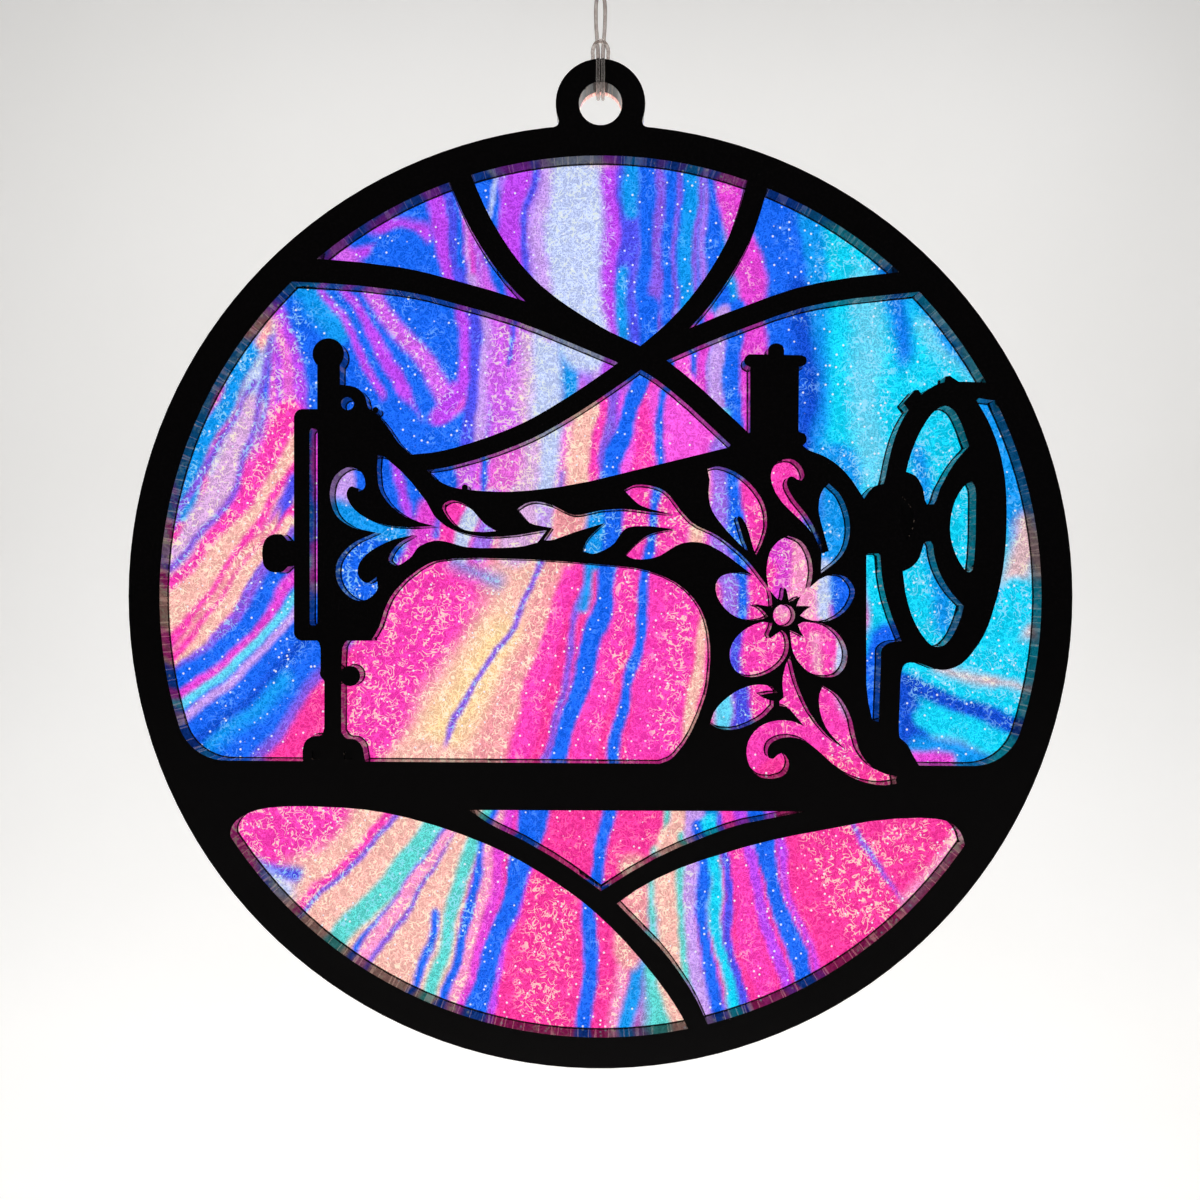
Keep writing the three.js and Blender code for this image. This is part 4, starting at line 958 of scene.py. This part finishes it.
def panel_piece():
    """The marbled sheet: fine cells where it shows through the lattice, and wider ones elsewhere."""
    loops = outline_loops(NODES["color_panel"], PANEL_BACK_Y)
    origin, kept, seen = panel_cells(loops)
    mesh = SheetMesh(origin)
    rim = []
    for i, j in np.argwhere(kept).tolist():
        add_cell(mesh, i, j, seen)
        rim += [(start, end) for beyond, start, end in cell_sides(i, j) if not kept[beyond]]
    add_edge(mesh, rim, loops)

    piece = mesh_piece("marbled_sheet", [tuple(c * MM for c in place) for place in mesh.places], mesh.faces)
    x, _, z = np.array(mesh.places).T
    colour, fleck = paint(x, z)
    shades = piece.data.color_attributes.new("marble", "FLOAT_COLOR", "POINT")
    shades.data.foreach_set("color", np.column_stack([colour, np.ones(len(x))]).astype(np.float32).ravel())
    crowd = piece.data.attributes.new("fleck", "FLOAT", "POINT")
    crowd.data.foreach_set("value", fleck.astype(np.float32))
    return piece


# Marbled panel: material
PAINTED_GLOW = 0.96                  # share of the pattern's colour that the sheet gives off as painted glow, in place of backlight shining through it
BODY = 0.32                  # share of it that the sheet's own surface sends back
FLAT = (1, 0.2, 1)           # the pattern's stretch, so that it changes little through the sheet
GRAIN_SCALE = 4600           # grains to the metre
GRAIN_SPAN = (0.30, 0.70)
GRAIN_TONES = (0.74, 1.12)
GRAIN_ROUGH = (0.18, 0.36)
GRAIN_RELIEF = 0.35          # how high the grain stands beside the curly marks
# painted highlight and shade on the embossing: raised relief lighter and whiter, low parts darker
RELIEF_HIGHLIGHT_TONES = (0.88, 1.30)
RELIEF_HIGHLIGHT_WHITE = 0.03
RELIEF_DEPTH = 0.00008       # m
WORMS = (                    # curly marks: their number to the metre, line width, gaps between, and turn
    (700, 0.017, 0.49, (0, 0, 0)), (800, 0.015, 0.51, (0, 0.9, 0)),
)
MARK_FADE = 2.6              # line widths over which a mark's edge fades
MARK_RELIEF = 5              # line widths over which its embossing falls off
BREAK_SCALE = 0.9            # how coarse the breaks are beside the marks
BREAK_FADE = 0.05
WARM_SPAN = (0.25, 0.75)     # how much red makes the marks warm
COOL_WHITE = (160, 226, 255)
WARM_WHITE = (255, 240, 212)
PALE_SPAN = (0.10, 0.32, 0.0, 0.95)
PALE_MARK = (0.2, 0.68)      # how white the marks are: what paleness adds, and the least
AREA_SCALE = 170             # areas to the metre, where marks crowd or thin out
AREA_SPAN = (0.25, 0.80)
DOT_SCALE = 860              # places for a dot, to the metre
DOT_SIZE = (0.10, 0.20)
DOT_CHANCE = (0.34, 0.38)
DOT_SHARE = 0.9
DOT_WHITE = (240, 244, 255)


def opaque(rgb):
    return (*linear(rgb), 1)


def worms(graph, scale, width, gaps, turn):
    """Short curly marks: the level lines of a noise, broken up by another one."""
    place = graph.place(scale=FLAT, turn=turn)
    field = graph.noise(place, scale, detail=0.6, distortion=1.4)
    ridge = graph.math("ABSOLUTE", graph.math("SUBTRACT", field, NOISE_MIDDLE))
    line = graph.span(ridge, width, width * MARK_FADE, 1.0, 0.0)
    relief = graph.span(ridge, 0.0, width * MARK_RELIEF, 1.0, 0.0)
    breaks = graph.noise(place, scale * BREAK_SCALE, detail=0.0)
    pieces = graph.span(breaks, gaps, gaps + BREAK_FADE)
    return graph.math("MULTIPLY", line, pieces), relief


def white_dots(graph, place):
    """Small round dots in about two of three cells."""
    cells = graph.cells(place, DOT_SCALE)
    dot = graph.span(cells["Distance"], *DOT_SIZE, 1.0, 0.0)
    chosen = graph.span(graph.channels(cells["Color"])[0], *DOT_CHANCE)
    return graph.math("MULTIPLY", graph.math("MULTIPLY", dot, chosen), DOT_SHARE)


def marbled_acrylic():
    """Marbled sheet with a painted glow for the light through it, an embossed curly grain with painted
    highlight, pale flecks and white dots.
    """
    graph = Graph("marbled_acrylic")
    marble = graph.node("VertexColor", layer_name="marble").outputs["Color"]
    crowd = graph.node("Attribute", attribute_name="fleck").outputs["Fac"]
    red, green, _ = graph.channels(marble)
    flat = graph.place(scale=FLAT)
    grain = graph.noise(flat, GRAIN_SCALE, detail=1.0)
    shade = graph.span(grain, *GRAIN_SPAN, *GRAIN_TONES)
    grained = graph.mix(1.0, marble, graph.grey(shade), "MULTIPLY")
    white = graph.mix(graph.span(red, *WARM_SPAN), opaque(COOL_WHITE), opaque(WARM_WHITE))

    (first, relief), (second, relief_two) = (worms(graph, *worm) for worm in WORMS)
    raised = graph.math("MAXIMUM", relief, relief_two)
    # painted highlight: the colour lighter, and a little whiter, where the relief is raised
    relief_highlight = graph.span(raised, 0.0, 1.0, *RELIEF_HIGHLIGHT_TONES)
    relief_shaded = graph.mix(1.0, grained, graph.grey(relief_highlight), "MULTIPLY")
    embossed = graph.mix(graph.math("MULTIPLY", raised, RELIEF_HIGHLIGHT_WHITE), relief_shaded, white)

    areas = graph.math("SUBTRACT", graph.noise(flat, AREA_SCALE, detail=1.0), NOISE_MIDDLE)
    pale = graph.span(graph.math("MULTIPLY", red, green), *PALE_SPAN)
    wanted = graph.math("MAXIMUM", crowd, pale)
    crowded = graph.span(graph.math("ADD", wanted, areas), *AREA_SPAN)
    marks = graph.math("MULTIPLY", graph.math("MAXIMUM", first, second), crowded)
    mark_tone = graph.mix(graph.math("MULTIPLY_ADD", pale, *PALE_MARK), marble, white)
    marked = graph.mix(marks, embossed, mark_tone)
    colour = graph.mix(white_dots(graph, flat), marked, opaque(DOT_WHITE))

    body = graph.mix(1.0, colour, (BODY, BODY, BODY, 1), "MULTIPLY")
    # painted glow: the pattern's colour sent out as light, standing in for the backlight through the sheet
    graph.shade(Base_Color=body, Emission_Color=colour, Emission_Strength=PAINTED_GLOW)
    graph.shade(Roughness=graph.span(grain, *GRAIN_SPAN, *GRAIN_ROUGH))
    graph.shade(IOR=1.49, Coat_Weight=0.3, Coat_Roughness=0.06)
    height = graph.math("ADD", graph.math("MULTIPLY", grain, GRAIN_RELIEF), raised)
    graph.bump(height, strength=0.3, distance=RELIEF_DEPTH)
    return graph.material


panel = panel_piece()
panel.data.materials.append(marbled_acrylic())


# Black lattice
BEVEL = 0.18                 # mm, the polished edge of the cut sheet
BEVEL_STEPS = 2
FLAT_ANGLE = math.radians(1.0)
SMOOTH_ANGLE = math.radians(34)
FILM_GAP = 0.03              # mm between the film and each sheet
FILM_PROUD = 0.10            # mm that the film stands proud of the lattice's walls
FILM_TURN = 0.3              # the least sum of two edges' directions that still says where outwards is
RIM_NEAR = 0.05              # mm from the sheets' own outline within which an edge belongs to it
FLAT_SHARE = 0.99            # how square to the front a face is that stays flat

WALL_SPAN = (0.2, 0.6)       # how far a surface faces front or back, from cut wall to face
DRAWN = (1, 0.02, 1)         # the facets' stretch, so that they run from front to back
FACET_SCALE = 560            # facets of a cut wall to the metre
FACET_TILT = 0.15
FACET_HIGHLIGHT_WIDTH = (0.015, 0.05)
STREAK_SCALE = 2400          # streaks to the metre
STREAK_DEPTH = 0.00005       # m
BLACK_SPAN = (0.4, 0.7)
BLACKS = ((0.0014, 0.0010, 0.0012, 1), (0.0040, 0.0032, 0.0036, 1))
# painted highlight: the lighter lines between a wall's facets stand in for light caught at their edges
FACET_HIGHLIGHT = (0.20, 0.15, 0.12, 1)
HAZE_SCALE = 60
ROUGH_SPAN = (0.3, 0.7)
FACE_ROUGH = (0.05, 0.12)
WALL_ROUGH = (0.06, 0.20)
SHINE = (0.16, 0.5)          # specular level of the faces and of the cut walls


def facet_normal(graph, normal, wall, place):
    """The surface's direction, tilted a little facet by facet on the cut walls."""
    colour = graph.cells(place, FACET_SCALE)["Color"]
    size = Vector((FACET_TILT, FACET_TILT / 2, FACET_TILT))
    tilt = graph.vector("MULTIPLY_ADD", {0: colour, 1: size, 2: -size / 2})
    weighed = graph.vector("SCALE", {0: tilt, "Scale": wall})
    return graph.vector("NORMALIZE", {0: graph.vector("ADD", {0: normal, 1: weighed})})


def black_acrylic():
    """Polished black acrylic: smooth dark faces, and walls cut in short facets with painted highlight lines
    between.
    """
    graph = Graph("black_acrylic")
    along = graph.place(scale=DRAWN)
    normal = graph.node("NewGeometry").outputs["Normal"]
    facing = graph.math("ABSOLUTE", graph.node("SeparateXYZ", {0: normal}).outputs["Y"])
    wall = graph.span(facing, *WALL_SPAN, 1.0, 0.0)
    streaks = graph.noise(along, STREAK_SCALE)
    tilted = facet_normal(graph, normal, wall, along)
    height = graph.math("MULTIPLY", streaks, wall)
    graph.bump(height, strength=0.6, distance=STREAK_DEPTH, Normal=tilted)

    # painted highlight lines along the borders between facets, on the cut walls only
    borders = graph.cells(along, FACET_SCALE, feature="DISTANCE_TO_EDGE")["Distance"]
    line = graph.math("MULTIPLY", graph.span(borders, *FACET_HIGHLIGHT_WIDTH, 1.0, 0.0), wall)
    tone = graph.mix(graph.span(streaks, *BLACK_SPAN), *BLACKS)
    graph.shade(Base_Color=graph.mix(line, tone, FACET_HIGHLIGHT), IOR=1.8)

    haze = graph.noise(graph.place(), HAZE_SCALE, detail=3.0)
    face_rough = graph.span(haze, *ROUGH_SPAN, *FACE_ROUGH)
    wall_rough = graph.span(streaks, *ROUGH_SPAN, *WALL_ROUGH)
    mixed = graph.node("Mix", {0: wall, 2: face_rough, 3: wall_rough}, data_type="FLOAT")
    graph.shade(Roughness=mixed.outputs[0], Specular_IOR_Level=graph.span(wall, 0.0, 1.0, *SHINE))
    return graph.material


FILM_SCALE = 900             # uneven spots to the metre
FILM_SPAN = (0.45, 0.75)
FILM_ROUGH = (0.25, 0.5)
FILM_SHADE_TONES = ((0.002, 0.0015, 0.002, 1), (0.05, 0.03, 0.02, 1))


def shadow_film():
    """Painted shade: the dark line where shade falls in the gap between the two sheets, a little uneven."""
    graph = Graph("shadow_film")
    uneven = graph.noise(graph.place(), FILM_SCALE)
    graph.shade(Base_Color=graph.mix(graph.span(uneven, *FILM_SPAN), *FILM_SHADE_TONES))
    graph.shade(Roughness=graph.span(uneven, *ROUGH_SPAN, *FILM_ROUGH))
    return graph.material


def welded(node):
    """A working copy of a CAD node's mesh, with its double points joined."""
    work = bmesh.new()
    work.from_mesh(NODES[node].data)
    bmesh.ops.remove_doubles(work, verts=work.verts, dist=TINY)
    return work


def finished(work, name):
    """An object from a working mesh."""
    bmesh.ops.recalc_face_normals(work, faces=work.faces)
    data = bpy.data.meshes.new(name)
    work.to_mesh(data)
    work.free()
    return add_object(name, data)


def outward_steps(work):
    """For each point on the border of a flat mesh, the step that brings it FILM_PROUD outwards (m)."""
    steps = {}
    for vert in work.verts:
        edges = [edge for edge in vert.link_edges if edge.is_boundary]
        if len(edges) != 2:
            continue
        out = Vector((0, 0, 0))
        for edge in edges:
            run = (edge.verts[1].co - edge.verts[0].co).normalized()
            side = run.cross(Vector((0, 1, 0)))
            inner = edge.link_faces[0].calc_center_median() - edge.verts[0].co
            out += side if side.dot(inner) < 0 else -side
        if out.length > FILM_TURN:
            steps[vert] = out.normalized() * min(FILM_PROUD / out.length * 2, FILM_PROUD * 2) * MM
    return steps


def film_piece():
    """A thin dark layer in the gap between the sheets, as painted shade, a hair proud of the windows' walls.

    At the sheets' own outline and in the hanging hole it stays behind their edges.
    """
    work = welded("lattice")
    away = [f for f in work.faces if any(abs(v.co.y / MM - LATTICE_BACK_Y) > FACE_PLAY for v in f.verts)]
    bmesh.ops.delete(work, geom=away, context="FACES")
    steps = outward_steps(work)
    spots = np.array([vert.co for vert in steps]) / MM
    rim = outline_loops(NODES["color_panel"], PANEL_BACK_Y)
    far = nearest_on_loops(spots[:, 0], spots[:, 2], rim)[2]
    for (vert, step), gap in zip(steps.items(), far):
        vert.co += -step if gap < RIM_NEAR else step
    for vert in work.verts:
        vert.co.y = (LATTICE_BACK_Y + FILM_GAP) * MM
    made = bmesh.ops.extrude_face_region(work, geom=work.faces[:])
    for item in made["geom"]:
        if isinstance(item, bmesh.types.BMVert):
            item.co.y = (PANEL_FRONT_Y - FILM_GAP) * MM
    return finished(work, "gap_shade_film")


def lattice_piece():
    """The cut sheet with its edges eased and its curved walls smooth."""
    work = welded("lattice")
    bmesh.ops.dissolve_limit(work, angle_limit=FLAT_ANGLE, verts=work.verts, edges=work.edges)
    piece = finished(work, "cut_lattice")
    data = piece.data
    data.polygons.foreach_set("use_smooth", [abs(p.normal.y) < FLAT_SHARE for p in data.polygons])
    data.set_sharp_from_angle(angle=SMOOTH_ANGLE)
    bevel = piece.modifiers.new("edge", "BEVEL")
    bevel.width = BEVEL * MM
    bevel.segments = BEVEL_STEPS
    bevel.limit_method = "ANGLE"
    bevel.angle_limit = SMOOTH_ANGLE
    return piece


lattice = lattice_piece()
lattice.data.materials.append(black_acrylic())
# painted shade: a dark layer where the gap between the sheets is shaded
film = film_piece()
film.data.materials.append(shadow_film())

# Ride on the root body, in place of the CAD nodes, which are hidden
PIECES = (
    (cord, "clear_cord", "hanging_cord"), (knot, "clear_cord", "cord_knot"),
    (panel, "marbled_acrylic", "color_panel"), (lattice, "black_acrylic", "lattice"),
)
for piece, slot, node in PIECES:
    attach(piece, "root")
    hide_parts(node)
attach(film, "root")

# Stage, light and world, in metres
FLOOR_Z = -0.42
BACK_Y = 1.1
STAGE_HALF = 12.0
SWEEP_RADIUS = 0.5
SWEEP_STEPS = 12
WALL_TOP = 8.0
STAGE_TONES = ((0.80, 0.79, 0.77, 1), (0.86, 0.85, 0.84, 1))
MOTTLE_SCALE = 3             # soft patches to the metre
ASIDE = (0.9, 3.0)           # how far aside the wall's own light fades out
BEHIND = (-0.2, 0.35)        # how far back it sets in
WALL_GLOW = 0.42             # light that the wall behind gives of its own, which evens it out
FLOOR_GLOW = 0.82            # the same in front and far aside, only as the camera sees it, so not mirrored


def stage_material():
    """Matt and pale, with light of its own as WALL_GLOW and FLOOR_GLOW say."""
    graph = Graph("pale_stage")
    place = graph.place()
    tone = graph.mix(graph.noise(place, MOTTLE_SCALE), *STAGE_TONES)
    parts = graph.node("SeparateXYZ", {0: place}).outputs
    camera_ray = graph.node("LightPath").outputs["Is Camera Ray"]
    aside = graph.span(graph.math("ABSOLUTE", parts["X"]), *ASIDE, 1.0, 0.0)
    behind = graph.math("MULTIPLY", graph.span(parts["Y"], *BEHIND), aside)
    ahead = graph.math("MULTIPLY", graph.math("SUBTRACT", 1.0, behind), camera_ray)
    wall_glow = graph.math("MULTIPLY", behind, WALL_GLOW)
    glow = graph.math("ADD", wall_glow, graph.math("MULTIPLY", ahead, FLOOR_GLOW))
    graph.shade(Base_Color=tone, Emission_Color=tone, Emission_Strength=glow)
    graph.shade(Roughness=0.9, Specular_IOR_Level=0.1)
    return graph.material


def make_stage():
    """A pale floor that sweeps up into a pale wall behind the object."""
    profile = [(-STAGE_HALF, FLOOR_Z), (BACK_Y - SWEEP_RADIUS, FLOOR_Z)]
    for k in range(1, SWEEP_STEPS + 1):
        turn = math.radians(90) * k / SWEEP_STEPS
        y = BACK_Y - SWEEP_RADIUS + SWEEP_RADIUS * math.sin(turn)
        z = FLOOR_Z + SWEEP_RADIUS * (1 - math.cos(turn))
        profile.append((y, z))
    profile.append((BACK_Y, WALL_TOP))
    places = [(side * STAGE_HALF, y, z) for y, z in profile for side in (-1, 1)]
    faces = [(2 * i, 2 * i + 1, 2 * i + 3, 2 * i + 2) for i in range(len(profile) - 1)]
    stage = mesh_piece("stage_sweep", places, faces)
    stage.data.polygons.foreach_set("use_smooth", [True] * len(faces))
    stage.data.materials.append(stage_material())


OBJECT_MIDDLE = (0, 0, DISC_CENTRE_Z * MM)
LIGHTS = (                   # name, place, what it points at, width and height, watts, spread in degrees
    ("back_top", (0, 0.45, 1.1), (0, 0.9, -0.2), (1.8, 0.6), 5.5, 100),
    ("side_left", (-0.8, -0.22, 0.1), OBJECT_MIDDLE, (0.5, 0.9), 0.7, 70),
    ("side_right", (0.8, -0.22, 0.1), OBJECT_MIDDLE, (0.5, 0.9), 0.7, 70),
    ("top_soft", (0, -0.16, 0.8), OBJECT_MIDDLE, (0.8, 0.3), 0.7, 60),
)


def make_light(name, place, aim, size, power, spread):
    """A soft rectangular light that the camera doesn't see."""
    data = bpy.data.lights.new(name, "AREA")
    data.shape = "RECTANGLE"
    data.size, data.size_y = size
    data.energy = power
    data.spread = math.radians(spread)
    lamp = add_object(name, data)
    lamp.location = place
    lamp.rotation_euler = (Vector(aim) - Vector(place)).to_track_quat("-Z", "Y").to_euler()
    lamp.visible_camera = False


make_stage()
for light in LIGHTS:
    make_light(*light)

WORLD_LIGHT = 0.04
WORLD_PALE = 0.74
WORLD_TONE = (1.0, 0.99, 0.98, 1)


def make_world():
    """Dim light from all round, which shows as a pale room to the camera."""
    world = bpy.data.worlds.new("studio")
    bpy.context.scene.world = world
    world.use_nodes = True
    tree = world.node_tree
    background = tree.nodes["Background"]
    path = tree.nodes.new("ShaderNodeLightPath")
    span = tree.nodes.new("ShaderNodeMapRange")
    span.inputs["To Min"].default_value = WORLD_LIGHT
    span.inputs["To Max"].default_value = WORLD_PALE
    tree.links.new(path.outputs["Is Camera Ray"], span.inputs["Value"])
    tree.links.new(span.outputs["Result"], background.inputs["Strength"])
    background.inputs["Color"].default_value = WORLD_TONE


make_world()
bpy.context.scene.view_settings.view_transform = "Standard"
